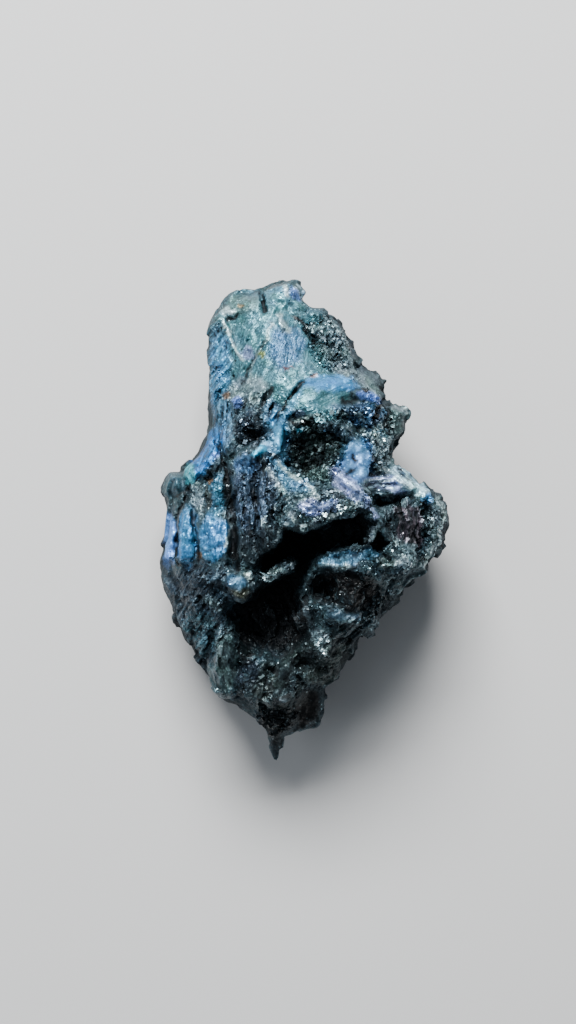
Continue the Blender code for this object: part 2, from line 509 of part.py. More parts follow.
def ellipse_reach(x, y, centre, half_widths, turn):
    """0 at the middle of a turned ellipse, 1 on its edge and more outside."""
    angle = math.radians(turn)
    dx, dy = x - centre[0], y - centre[1]
    along = (dx * math.cos(angle) + dy * math.sin(angle)) / half_widths[0]
    across = (dy * math.cos(angle) - dx * math.sin(angle)) / half_widths[1]
    return np.hypot(along, across)


def wander(x, y):
    """The plan bent a little at every place, so that no edge or line runs straight."""
    bent_x, bent_y = x.copy(), y.copy()
    for size, reach in WANDER:
        for index in range(len(x)):
            bend = noise.noise_vector(Vector((x[index] / size, y[index] / size, size)))
            bent_x[index] += reach * bend.x
            bent_y[index] += reach * bend.y
    return bent_x, bent_y


def broad_ground(x, y):
    """The thin plate drawn through the surveyed heights."""
    survey = np.array(list(GROUND.values()))
    gap = np.hypot(survey[:, None, 0] - survey[None, :, 0], survey[:, None, 1] - survey[None, :, 1])
    count = len(survey)
    plane = np.column_stack([np.ones(count), survey[:, 0], survey[:, 1]])
    system = np.zeros((count + 3, count + 3))
    system[:count, :count] = gap**2 * np.log(gap + 1e-9)
    system[:count, count:] = plane
    system[count:, :count] = plane.T
    weights = np.linalg.solve(system, np.concatenate([survey[:, 2], np.zeros(3)]))
    height = weights[count] + weights[count + 1] * x + weights[count + 2] * y
    for (px, py, _), weight in zip(survey, weights):
        reach = np.hypot(x - px, y - py)
        height += weight * reach**2 * np.log(reach + 1e-9)
    return height


def with_ledge(height, x, y, corners, level, rise, slope, swell):
    """The ground inside an outline set to a tilted level of its own."""
    middle = np.mean(corners, axis=0)
    inner = depth_inside(x, y, corners)
    own = level + rise[0] * (x - middle[0]) + rise[1] * (y - middle[1])
    own += swell * ease(0.0, 2.5, inner)
    share = ease(-slope, slope, inner)
    return height + share * (own - height)


def with_hollow(height, x, y, corners, level, rise, wall):
    """The ground inside an outline sunk to a floor, never raised to it."""
    middle = np.mean(corners, axis=0)
    inner = depth_inside(x, y, corners)
    floor = level + rise[0] * (x - middle[0]) + rise[1] * (y - middle[1])
    share = ease(-0.3 * wall, 1.7 * wall, inner)
    return np.minimum(height, height + share * (floor - height))


def with_lines(height, x, y, lines):
    """Narrow clefts and thin ridges, each fading at both ends. Where two meet, the greater one counts."""
    ridge, cleft = np.zeros(x.shape), np.zeros(x.shape)
    for line, half_width, lift in lines:
        distance, along = distance_to_line(x, y, line)
        fade = ease(0.0, 0.18, along) * ease(0.0, 0.18, 1.0 - along)
        profile = (0.25 + 0.75 * fade) * np.clip(1.25 - distance / half_width, 0.0, 1.0)
        ridge = np.maximum(ridge, lift * profile)
        cleft = np.maximum(cleft, -lift * profile)
    return height + ridge - cleft


def with_nodule(height, x, y, centre, half_widths, turn, lift):
    """An angular lump with a flat top, or with a negative lift a pit."""
    reach = ellipse_reach(x, y, centre, half_widths, turn)
    around = np.arctan2(y - centre[1], x - centre[0]) - math.radians(turn)
    side = 2.0 * math.pi / NODULE_SIDES
    reach *= np.cos(np.mod(around, side) - side / 2.0)
    return height + lift * np.clip((1.0 - reach) / 0.55, 0.0, 1.0)


def zone_strength(x, y, zones):
    """How strongly each place of the plan belongs to the zones, 0 to 1."""
    strength = np.zeros(x.shape)
    for centre, half_widths, turn, most in zones:
        reach = ellipse_reach(x, y, centre, half_widths, turn)
        strength = np.maximum(strength, most * ease(0.0, 0.35, 1.0 - reach))
    return strength


def facet_lifts(points, size, slope, step):
    """The lift of a surface broken into facets, each with a tilt and a step of its own."""
    lifts = np.zeros(len(points))
    for index, point in enumerate(points):
        place = Vector(point) / size
        _, middles = noise.voronoi(place)
        own = noise.noise_vector(middles[0] * 5.37)
        tilt = slope * size * own.dot(place - middles[0])
        lifts[index] = 2.0 * (tilt + step * noise.noise(middles[0] * 9.73))
    return lifts


def face_height(x, y):
    """The height of the sculptured face over each point of the plan, before its edge is rounded off."""
    bent_x, bent_y = wander(x, y)
    height = broad_ground(x, y)
    for corners, level, rise, slope, swell in LEDGES.values():
        height = with_ledge(height, bent_x, bent_y, corners, level, rise, slope, swell)
    for corners, level, rise, wall in HOLLOWS.values():
        height = with_hollow(height, bent_x, bent_y, corners, level, rise, wall)
    height = with_lines(height, bent_x, bent_y, LINES.values())
    for centre, half_widths, turn, lift in NODULES.values():
        height = with_nodule(height, bent_x, bent_y, centre, half_widths, turn, lift)
    plan = np.column_stack([bent_x, bent_y, np.zeros(x.shape)])
    height += zone_strength(x, y, SUGARY) * facet_lifts(plan, *SUGARY_BLOCKS)
    staves = plan * (1.0, 1.0 / STAVE_STRETCH, 1.0)
    height += zone_strength(x, y, COLUMNAR) * facet_lifts(staves, *COLUMNAR_STAVES)
    return height


def back_height(x, y):
    """The height of the back over each point of the plan, before its edge is rounded off."""
    bent_x, bent_y = wander(x + 40.0, y)
    bent_x -= 40.0
    planes = [level + rise[0] * bent_x + rise[1] * bent_y for level, rise in BACK_PLANES]
    height = np.max(planes, axis=0)
    for centre, half_widths, turn, lift in BACK_PITS:
        height = with_nodule(height, bent_x, bent_y, centre, half_widths, turn, -lift)
    return height


def shoulder(inner, width):
    """The share of its full height that a face has reached this far in from the edge."""
    share = np.clip(inner / width, 0.0, 1.0)
    return EDGE_SHARE + (1.0 - EDGE_SHARE) * np.sqrt(1.0 - (1.0 - share) ** 2)


def points_of(mesh):
    """The mesh's vertices as an array with a row for each."""
    flat = np.empty(len(mesh.vertices) * 3)
    mesh.vertices.foreach_get("co", flat)
    return flat.reshape(-1, 3)


def normals_of(mesh):
    """The mesh's vertex normals as an array with a row for each."""
    flat = np.empty(len(mesh.vertices) * 3)
    mesh.vertices.foreach_get("normal", flat)
    return flat.reshape(-1, 3)


def move_points(mesh, points):
    """Puts the mesh's vertices at these places."""
    mesh.vertices.foreach_set("co", points.ravel())
    mesh.update()


def apply_modifier(lump, kind, **settings):
    """Adds a modifier with these settings to the lump and applies it."""
    modifier = lump.modifiers.new(kind.title(), kind)
    for name, value in settings.items():
        setattr(modifier, name, value)
    bpy.context.view_layer.objects.active = lump
    bpy.ops.object.modifier_apply(modifier=modifier.name)


def add_blank():
    """A slab as thick as the lump, cut to its outline."""
    form = bmesh.new()
    corners = [form.verts.new((x, y, 0.0)) for x, y in OUTLINE]
    sheet = form.faces.new(corners)
    grown = bmesh.ops.extrude_face_region(form, geom=[sheet])
    raised = [item for item in grown["geom"] if isinstance(item, bmesh.types.BMVert)]
    bmesh.ops.translate(form, verts=raised, vec=(0.0, 0.0, SLAB_THICKNESS))
    bmesh.ops.recalc_face_normals(form, faces=form.faces)
    mesh = bpy.data.meshes.new("chalcocite_specimen")
    form.to_mesh(mesh)
    form.free()
    lump = bpy.data.objects.new("chalcocite_specimen", mesh)
    bpy.context.scene.collection.objects.link(lump)
    return lump


def carve_relief(lump):
    """Moves the slab's top to the face's relief and its underside to the back's planes."""
    points = points_of(lump.data)
    x, y = points[:, 0], points[:, 1]
    inner = np.maximum(depth_inside(x, y, OUTLINE), 0.0)
    edge = EDGE_LEVEL + EDGE_RISE[0] * x + EDGE_RISE[1] * y
    face = edge + (face_height(x, y) - edge) * shoulder(inner, FACE_SHOULDER)
    back = edge + (back_height(x, y) - edge) * shoulder(inner, BACK_SHOULDER)
    share = np.clip(points[:, 2] / SLAB_THICKNESS, 0.0, 1.0)
    points[:, 2] = back + share * (face - back)
    move_points(lump.data, points)


def roughen(lump):
    """Moves the surface in and out along its normals: swells and facets all over, blocks on the flanks."""
    points = points_of(lump.data)
    normals = normals_of(lump.data)
    lift = facet_lifts(points, *FACETS)
    for size, reach in SWELLS:
        for index, point in enumerate(points):
            lift[index] += reach * noise.noise(Vector(point) / size)
    steep = 1.0 - ease(0.2, 0.6, np.abs(normals[:, 2]))
    inner = ease(1.5, 3.5, depth_inside(points[:, 0], points[:, 1], OUTLINE))
    jagged = 0.2 + 0.8 * ease(*JAGGED_FROM_TO, points[:, 0])
    lift += FLANK_BLOCKS * jagged * steep * (1.0 - inner) * facet_lifts(points, *SUGARY_BLOCKS)
    lift *= 1.0 - 0.8 * steep * inner
    move_points(lump.data, points + normals * lift[:, None])


def keep_main_body(lump):
    """Drops loose crumbs, and fills sealed pockets, by keeping only the body with the most faces."""
    form = bmesh.new()
    form.from_mesh(lump.data)
    left = set(form.faces)
    bodies = []
    while left:
        body = {left.pop()}
        front = list(body)
        while front:
            face = front.pop()
            for edge in face.edges:
                for other in edge.link_faces:
                    if other in left:
                        left.discard(other)
                        body.add(other)
                        front.append(other)
        bodies.append(body)
    main_body = max(bodies, key=len)
    crumbs = [face for face in form.faces if face not in main_body]
    bmesh.ops.delete(form, geom=crumbs, context="FACES")
    form.to_mesh(lump.data)
    form.free()


def cut_rest(lump):
    """Cuts the back off flat where the lump rests, and closes the cut."""
    form = bmesh.new()
    form.from_mesh(lump.data)
    everything = list(form.verts) + list(form.edges) + list(form.faces)
    bmesh.ops.bisect_plane(
        form, geom=everything, plane_co=(0.0, 0.0, REST_LEVEL), plane_no=(0.0, 0.0, -1.0), clear_outer=True
    )
    rims = [edge for edge in form.edges if edge.is_boundary]
    bmesh.ops.triangle_fill(form, edges=rims, use_beauty=True, normal=(0.0, 0.0, -1.0))
    bmesh.ops.triangulate(form, faces=form.faces)
    bmesh.ops.recalc_face_normals(form, faces=form.faces)
    form.to_mesh(lump.data)
    form.free()


def thin_out(lump):
    """Merges the mesh's triangles down to the finished lump's number, the back's before the face's."""
    count = sum(len(polygon.vertices) - 2 for polygon in lump.data.polygons)
    upward = normals_of(lump.data)[:, 2]
    loose = lump.vertex_groups.new(name="loose")
    for index, share in enumerate(1.0 - FACE_KEEPS * ease(-0.4, 0.4, upward)):
        loose.add([index], float(share), "REPLACE")
    apply_modifier(
        lump, "DECIMATE", ratio=TRIANGLES / count, use_collapse_triangulate=True,
        vertex_group=loose.name, vertex_group_factor=THINNING_WEIGHT,
    )
    lump.vertex_groups.clear()


def set_in_frame(lump):
    """Centres the lump's box over the origin, stands it on Z = 0, brings it to size and into metres."""
    points = points_of(lump.data)
    low, high = points.min(axis=0), points.max(axis=0)
    middle = Vector(((low[0] + high[0]) / 2, (low[1] + high[1]) / 2, low[2]))
    fit = Matrix.Diagonal((WIDTH / (high[0] - low[0]), LENGTH / (high[1] - low[1]), 1.0, 1.0))
    lump.data.transform(Matrix.Scale(METRES_PER_MM, 4) @ fit @ Matrix.Translation(-middle))


def ore_material():
    """Dark steel-blue tarnished copper sulphide."""
    material = bpy.data.materials.new("tarnished_ore")
    material.use_nodes = True
    shader = material.node_tree.nodes["Principled BSDF"]
    shader.inputs["Base Color"].default_value = ORE_COLOUR
    shader.inputs["Metallic"].default_value = ORE_METALLIC
    shader.inputs["Roughness"].default_value = ORE_ROUGHNESS
    return material


def sculpted_lump():
    """The whole lump in millimetres, before its triangles are thinned out."""
    lump = add_blank()
    apply_modifier(lump, "REMESH", mode="VOXEL", voxel_size=BLANK_VOXEL)
    carve_relief(lump)
    apply_modifier(lump, "REMESH", mode="VOXEL", voxel_size=RELIEF_VOXEL)
    roughen(lump)
    apply_modifier(lump, "REMESH", mode="VOXEL", voxel_size=FINISH_VOXEL)
    keep_main_body(lump)
    return lump


def main():
    """Models the specimen."""
    noise.seed_set(NOISE_SEED)
    clear_scene()
    lump = sculpted_lump()
    thin_out(lump)
    cut_rest(lump)
    set_in_frame(lump)
    lump.data.materials.append(ore_material())


if __name__ == "__main__":
    main()
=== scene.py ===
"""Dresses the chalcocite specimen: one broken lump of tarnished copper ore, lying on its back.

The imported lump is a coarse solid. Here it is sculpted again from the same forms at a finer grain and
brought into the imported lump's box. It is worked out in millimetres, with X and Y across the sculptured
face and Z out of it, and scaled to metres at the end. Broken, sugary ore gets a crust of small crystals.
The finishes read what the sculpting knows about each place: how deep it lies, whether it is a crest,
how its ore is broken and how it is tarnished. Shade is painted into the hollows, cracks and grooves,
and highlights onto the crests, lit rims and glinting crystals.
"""

import logging
import math
from dataclasses import dataclass, field
from enum import Enum
from typing import Iterable, Mapping, Sequence, TypeVar

import bmesh
import bpy
import numpy as np
from mathutils import Matrix, Vector, noise

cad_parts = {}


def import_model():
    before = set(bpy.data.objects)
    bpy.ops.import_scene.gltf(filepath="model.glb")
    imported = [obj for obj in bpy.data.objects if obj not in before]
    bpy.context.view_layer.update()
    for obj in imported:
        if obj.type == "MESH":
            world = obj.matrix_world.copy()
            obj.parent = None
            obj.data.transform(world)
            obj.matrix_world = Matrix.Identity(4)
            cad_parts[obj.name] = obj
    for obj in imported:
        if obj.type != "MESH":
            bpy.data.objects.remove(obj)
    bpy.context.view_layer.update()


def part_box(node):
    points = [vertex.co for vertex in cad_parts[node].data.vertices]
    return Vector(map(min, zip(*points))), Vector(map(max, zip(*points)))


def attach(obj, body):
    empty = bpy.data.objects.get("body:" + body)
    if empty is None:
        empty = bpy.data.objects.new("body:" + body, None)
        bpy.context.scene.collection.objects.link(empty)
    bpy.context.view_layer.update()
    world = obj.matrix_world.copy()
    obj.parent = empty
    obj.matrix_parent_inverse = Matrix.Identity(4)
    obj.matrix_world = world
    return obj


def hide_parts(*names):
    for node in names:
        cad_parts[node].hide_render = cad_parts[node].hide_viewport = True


log = logging.getLogger("chalcocite_specimen")

Array = np.ndarray
Place = tuple[float, float]
Line = Sequence[Place]
Colour = tuple[float, float, float]
Paint = tuple[float, float, float, float]
Socket = bpy.types.NodeSocket
Form = TypeVar("Form")

NODE = "chalcocite_specimen"
MM_PER_METRE = 1000.0
# The seed that every run draws the bends and tilts of the surface from
NOISE_SEED = 7


@dataclass(frozen=True)
class Oval:
    """A turned ellipse of the plan: its middle's X and Y, its half widths, its turn in degrees."""

    x: float
    y: float
    wide: float
    high: float
    turn: float

    def reach(self, x: Array, y: Array) -> Array:
        """Measures how far out places of the plan lie.

        Args:
            x: The places' X.
            y: The places' Y.

        Returns:
            0 at the middle, 1 on the edge and more outside.
        """
        angle = math.radians(self.turn)
        dx, dy = x - self.x, y - self.y
        along = (dx * math.cos(angle) + dy * math.sin(angle)) / self.wide
        across = (dy * math.cos(angle) - dx * math.sin(angle)) / self.high
        return np.hypot(along, across)


@dataclass(frozen=True)
class Zone(Oval):
    """Ground with a character of its own, and its greatest strength."""

    most: float


@dataclass(frozen=True)
class Nodule(Oval):
    """An angular lump and its lift in millimetres."""

    lift: float


@dataclass(frozen=True)
class Striae(Oval):
    """Ground with growth lines: the way they run, in degrees, and their greatest strength."""

    way: float
    most: float


@dataclass(frozen=True)
class Ledge:
    """Ground with a level of its own: corners, level and rise at their middle, slope width, swell."""

    corners: Line
    level: float
    rise: Place
    slope: float
    swell: float


@dataclass(frozen=True)
class Hollow:
    """Ground sunk to a floor: corners, level and rise of the floor, width of the walls."""

    corners: Line
    level: float
    rise: Place
    wall: float


@dataclass(frozen=True)
class Seam:
    """A thin ridge along a line, or with a negative lift a cleft."""

    line: Line
    half_width: float
    lift: float


@dataclass(frozen=True)
class Blocks:
    """How ore breaks: block size, slope and step either way, how much longer than wide, how flat."""

    size: float
    slope: float
    step: float
    stretch: float = 1.0
    flat: float = 0.0


class Hue(Enum):
    """The colours of the tarnish and of the painted shade and highlights, as red, green and blue out of 255.
    """

    ROCK = (50, 70, 78)
    # Pale frost, and the painted highlight on lit crests and rims
    FROST = (176, 204, 210)
    SHADE = (8, 11, 14)
    NEAR_BLACK = (10, 12, 15)
    SLATE = (40, 60, 74)
    IRON = (46, 56, 56)
    DEEP_GREEN = (38, 54, 54)
    DEEP_BLUE = (26, 38, 50)
    TEAL_GREY = (70, 116, 128)
    GREEN_GREY = (72, 96, 96)
    BLUE_GREY = (72, 118, 148)
    DARK_TEAL = (46, 76, 88)
    BLUE = (52, 112, 164)
    SKY_BLUE = (58, 126, 178)
    SKY = (74, 142, 186)
    BLUE_TEAL = (44, 98, 126)
    CYAN = (64, 170, 214)
    TEAL = (66, 154, 168)
    ICE = (186, 234, 255)
    LILAC = (150, 170, 218)
    HAZE = (92, 142, 192)
    PERIWINKLE = (96, 150, 226)
    MAUVE = (104, 96, 106)
    AZURE = (34, 108, 172)
    LILAC_GREY = (54, 94, 126)
    VIOLET = (84, 118, 184)
    VIOLET_GREY = (56, 74, 96)
    PALE = (120, 144, 152)
    OLIVE = (52, 50, 34)
    OCHRE = (150, 104, 36)
    RUST = (84, 42, 38)
    GREEN_YELLOW = (122, 134, 62)

    def linear(self) -> Colour:
        """Gives the colour in linear light."""
        return tuple((channel / 255.0) ** 2.2 for channel in self.value)


@dataclass(frozen=True)
class Stain(Oval):
    """A patch with a colour of its own, some of them painted shade, and its greatest strength."""

    tarnish_and_painted_light: Hue
    most: float


@dataclass(frozen=True)
class Streak:
    """A thin line with a colour of its own, many of them painted shade and painted highlights: colour, line,
    half width, strength.
    """

    tarnish_and_painted_light: Hue
    line: Line
    half_width: float
    most: float


def forms(kind: type[Form], rows: Mapping[str, tuple]) -> dict[str, Form]:
    """Makes a form of one kind from each named row of its sizes."""
    return {name: kind(*row) for name, row in rows.items()}


# The slab that the lump is sculpted from, the level that the finished lump is cut off at to rest on,
# and how its mesh is thinned out: how much the face is spared, and how much that counts
SLAB_THICKNESS = 24.0
REST_LEVEL = 0.3
FACE_KEEPS = 0.8
THINNING_WEIGHT = 0.02
CREST_ROUNDS = 5

# How high the edge runs: a level at the middle of the plan, and its rise for each millimetre in X and Y
EDGE_LEVEL = 8.0
EDGE_RISE = (0.08, 0.07)
# How far in from the edge the face and the back reach their full height, and the share kept at the edge
FACE_SHOULDER = 2.2
BACK_SHOULDER = 8.0
EDGE_SHARE = 0.16
# How far inside its outline a ledge has swollen to the full
SWELL_WIDTH = 2.5
# Where a hollow's wall starts and ends, in widths of the wall inside its outline
WALL_FROM_TO = (-0.3, 1.7)
# The share of a seam's length over which it fades at each end, and what is left of it right at the end
SEAM_FADE = 0.18
SEAM_END = 0.25
# The sides of a nodule, and the share of its reach that slopes
NODULE_SIDES = 5
NODULE_SLOPE = 0.55

# Wandering of every edge and line, of the stains, and swells of the whole surface, as (size, reach)
WANDER = [(2.6, 0.22), (0.9, 0.20), (0.42, 0.12)]
STAIN_WANDER = [(1.6, 0.40), (0.5, 0.30)]
SWELLS = [(5.0, 0.40), (1.8, 0.12)]
# The back's edges wander by the same rule as the face's, read this far away
BACK_SHIFT = 40.0

# How the ore breaks over the whole lump, where it is sugary, and into upright staves
FACETS = Blocks(3.4, 0.20, 0.18)
SUGARY_BLOCKS = Blocks(1.35, 0.85, 0.55)
COLUMNAR_STAVES = Blocks(1.15, 0.60, 0.65, stretch=4.0)
# The share of the sugary blocks that the face keeps, and their share on the flanks
SUGAR_SHARE = 0.55
FLANK_BLOCKS = 0.4
# The flanks are smooth up to this X on the left, and fully jagged from this X on the right
JAGGED_FROM_TO = (-8.0, 2.0)
# How much smooth ground takes off the breakage, and how jagged the smooth flank is left
SMOOTHING = 0.8
SMOOTH_FLANK = 0.2

# Finer breakage of the finished surface
COARSE_PLANES = Blocks(1.7, 0.10, 0.05, flat=0.75)
LEDGE_CHIPS = Blocks(1.9, 0.36, 0.24, flat=0.5)
CHIPS = Blocks(0.95, 0.50, 0.13, flat=0.5)
FINE_CHIPS = Blocks(0.48, 0.60, 0.08)
CRAGS = Blocks(2.6, 0.34, 0.36, flat=0.9)
STAVES = Blocks(0.85, 0.40, 0.26, stretch=4.0, flat=0.7)
SPLINTERS = Blocks(0.50, 0.70, 0.10, stretch=5.0)
# It fades out down the tip, between these two Y
TIP_FROM_TO = (-29.0, -24.5)
# The share of it that is left right at the outline
RIM_SHARE = 0.2
# How strongly the chips show on plain ground
PLAIN_CHIPS = 0.42
# How much a step in height counts where staves and splinters are laid out, against one across them
HEIGHT_SHARE = 0.35

# Painted shade inside grooves, pits and hollows, and what crests gain in frost and painted highlight and
# glints in painted highlight, in linear light
GROOVE_SHADE_COLOUR: Paint = (0.012, 0.022, 0.034, 1.0)
PIT_SHADE_COLOUR: Paint = (0.006, 0.008, 0.011, 1.0)
HOLLOW_SHADE_COLOUR: Paint = (0.014, 0.018, 0.022, 1.0)
RIDGE_HIGHLIGHT_GAIN: Paint = (0.03, 0.04, 0.045, 1.0)
CREST_FROST_AND_HIGHLIGHT_GAIN: Paint = (0.05, 0.07, 0.08, 1.0)
GLINT_GAIN: Paint = (0.12, 0.15, 0.16, 1.0)
# Growth lines in the finish: their spacing in millimetres, their depth in metres, and how much a step
# along them counts against one across
LINE_SPACING = 0.62
LINE_DEPTH = 0.00012
ALONG_SHARE = 0.35

# The edge of the lump in plan, clockwise from the crown's left foot, from the middle of the plan
OUTLINE: list[Place] = [
    # The crown
    (-11.3, 18), (-11.2, 21), (-10.9, 23.2), (-10.3, 24.9), (-9.5, 26.1), (-8.5, 27), (-6.9, 27.7),
    (-5.6, 27.4), (-4.8, 27.7), (-3.6, 28.3), (-2.2, 28.7), (-0.9, 28.5), (0.1, 27.8), (0.2, 27),
    (-0.2, 26.4), (0.9, 25.5), (2.5, 25.1), (3.7, 24.4), (4.9, 22.7),
    # The right side
    (5.6, 21.1), (6.2, 19.8), (7.6, 18), (8.9, 17.1), (9.3, 16.1), (10.2, 14.8), (9.7, 14.1), (11.1, 14),
    (12.2, 13.4), (12.6, 12.8), (12.1, 11.5), (11.9, 10.4), (10.9, 9.3), (10.5, 8.2), (10.8, 6.7),
    (11.6, 6.5),
    # The arm
    (12.6, 5.4), (13.8, 4.1), (15.2, 3.5), (16.6, 3.1), (17, 1.4), (17, -0.6), (16.5, -2.4), (16.1, -3.6),
    (15.2, -4.6), (14.4, -5.7), (12.9, -6.4),
    # The lower right
    (11.8, -7.9), (11.2, -9.2), (9.9, -10.8), (9.2, -11.6), (8.7, -12.6), (7.3, -13.2), (6.2, -14.3),
    (5.7, -15.4), (4.9, -16.4), (4.6, -17.4), (4.1, -18.5), (2.9, -19.2), (2.4, -20.6), (2.1, -22.8),
    (1.5, -24.2),
    # The tip
    (-0.6, -24.4), (-1.5, -25.3), (-2.2, -25.8), (-2.5, -26.8), (-2.6, -28.2), (-3, -29.5), (-3.5, -28.6),
    (-3.9, -26.9), (-4.7, -25.3), (-5.9, -23.6), (-7.4, -21.9),
    # The left side
    (-8.9, -21.6), (-9.9, -21), (-10.5, -19.8), (-11.2, -18.4), (-13, -16.1), (-14.1, -14.2), (-15, -12.2),
    (-15.5, -10), (-15.9, -8.4), (-16.7, -6.6), (-17, -4.4), (-16.7, -2.2), (-16.3, -0.5), (-16.2, 1.6),
    (-16.6, 3.4), (-16.4, 5), (-15.9, 6.1), (-14.3, 6.2), (-13.5, 6.8), (-12.2, 8), (-11.6, 9.8),
    (-10.7, 11.5), (-10.7, 13), (-11, 15.4),
]

# The broad ground of the face: X, Y and height, read at places that a name describes
GROUND: dict[str, tuple[float, float, float]] = {
    "crown top": (-2, 27.5, 11.5),
    "crown left lobe": (-7, 26.3, 11),
    "crown left edge": (-10.6, 21, 10.2),
    "crown middle": (-5, 22.5, 14.4),
    "crown right": (-0.5, 22, 14.6),
    "crown far right": (4.2, 22, 11.6),
    "crown right foot": (5.6, 18.6, 12.4),
    "crown left foot": (-10.4, 15.5, 11.4),
    "crown foot": (-3, 17.6, 16.8),
    "far rim": (8.2, 16.3, 10.8),
    "neck left": (-9.6, 12, 12.6),
    "neck": (-6.5, 13, 15.6),
    "dome top": (3, 16.2, 17.2),
    "dome brow": (3, 13.2, 20),
    "dome right": (8, 13.6, 16.6),
    "knob": (11.4, 12.4, 12.8),
    "ring left": (-3.4, 9.2, 19.4),
    "ring foot": (-1, 4.6, 21.2),
    "facet right": (6.4, 7, 19),
    "side right": (9.7, 7.6, 15.4),
    "lip left": (-1, 0.8, 22.6),
    "lip middle": (3.4, 1.8, 23.4),
    "lip right": (6.8, 3, 21.8),
    "columns top": (-6.4, 7.4, 18.2),
    "columns": (-5.4, 2.5, 19.8),
    "columns foot": (-5, -3.4, 19.6),
    "panel top": (-10.6, 8, 14.2),
    "panel": (-10.6, 0, 16.8),
    "panel left": (-14, -1.5, 14),
    "left knob": (-15.4, 4.4, 10.6),
    "left edge": (-16.3, -4.6, 9.8),
    "flank": (-12.5, -9, 14.6),
    "flank foot": (-12.4, -14.6, 11),
    "stub": (-7.6, -7.2, 18),
    "blade": (-8.8, -16, 14.4),
    "blade foot": (-8.8, -20.6, 10.4),
    "belly": (-3.6, -11, 13.6),
    "keel": (-4.6, -18.4, 12.6),
    "keel foot": (-3.2, -23, 10),
    "tip": (-3.2, -27.4, 6.6),
    "heel": (1.2, -22.4, 9),
    "heel top": (2.6, -17.6, 12.2),
    "gallery": (4.6, -4.4, 20),
    "nodules": (6.2, -8, 18.2),
    "crag": (2.4, -14, 17.2),
    "step": (5.2, -11.6, 16.8),
    "lower right": (9.6, -9.8, 12.8),
    "arm foot": (11.2, -4.4, 18.2),
    "arm shell": (12, 0.4, 18.6),
    "arm end": (15.8, 0, 13.2),
    "arm top": (11.4, 4.8, 16.4),
}

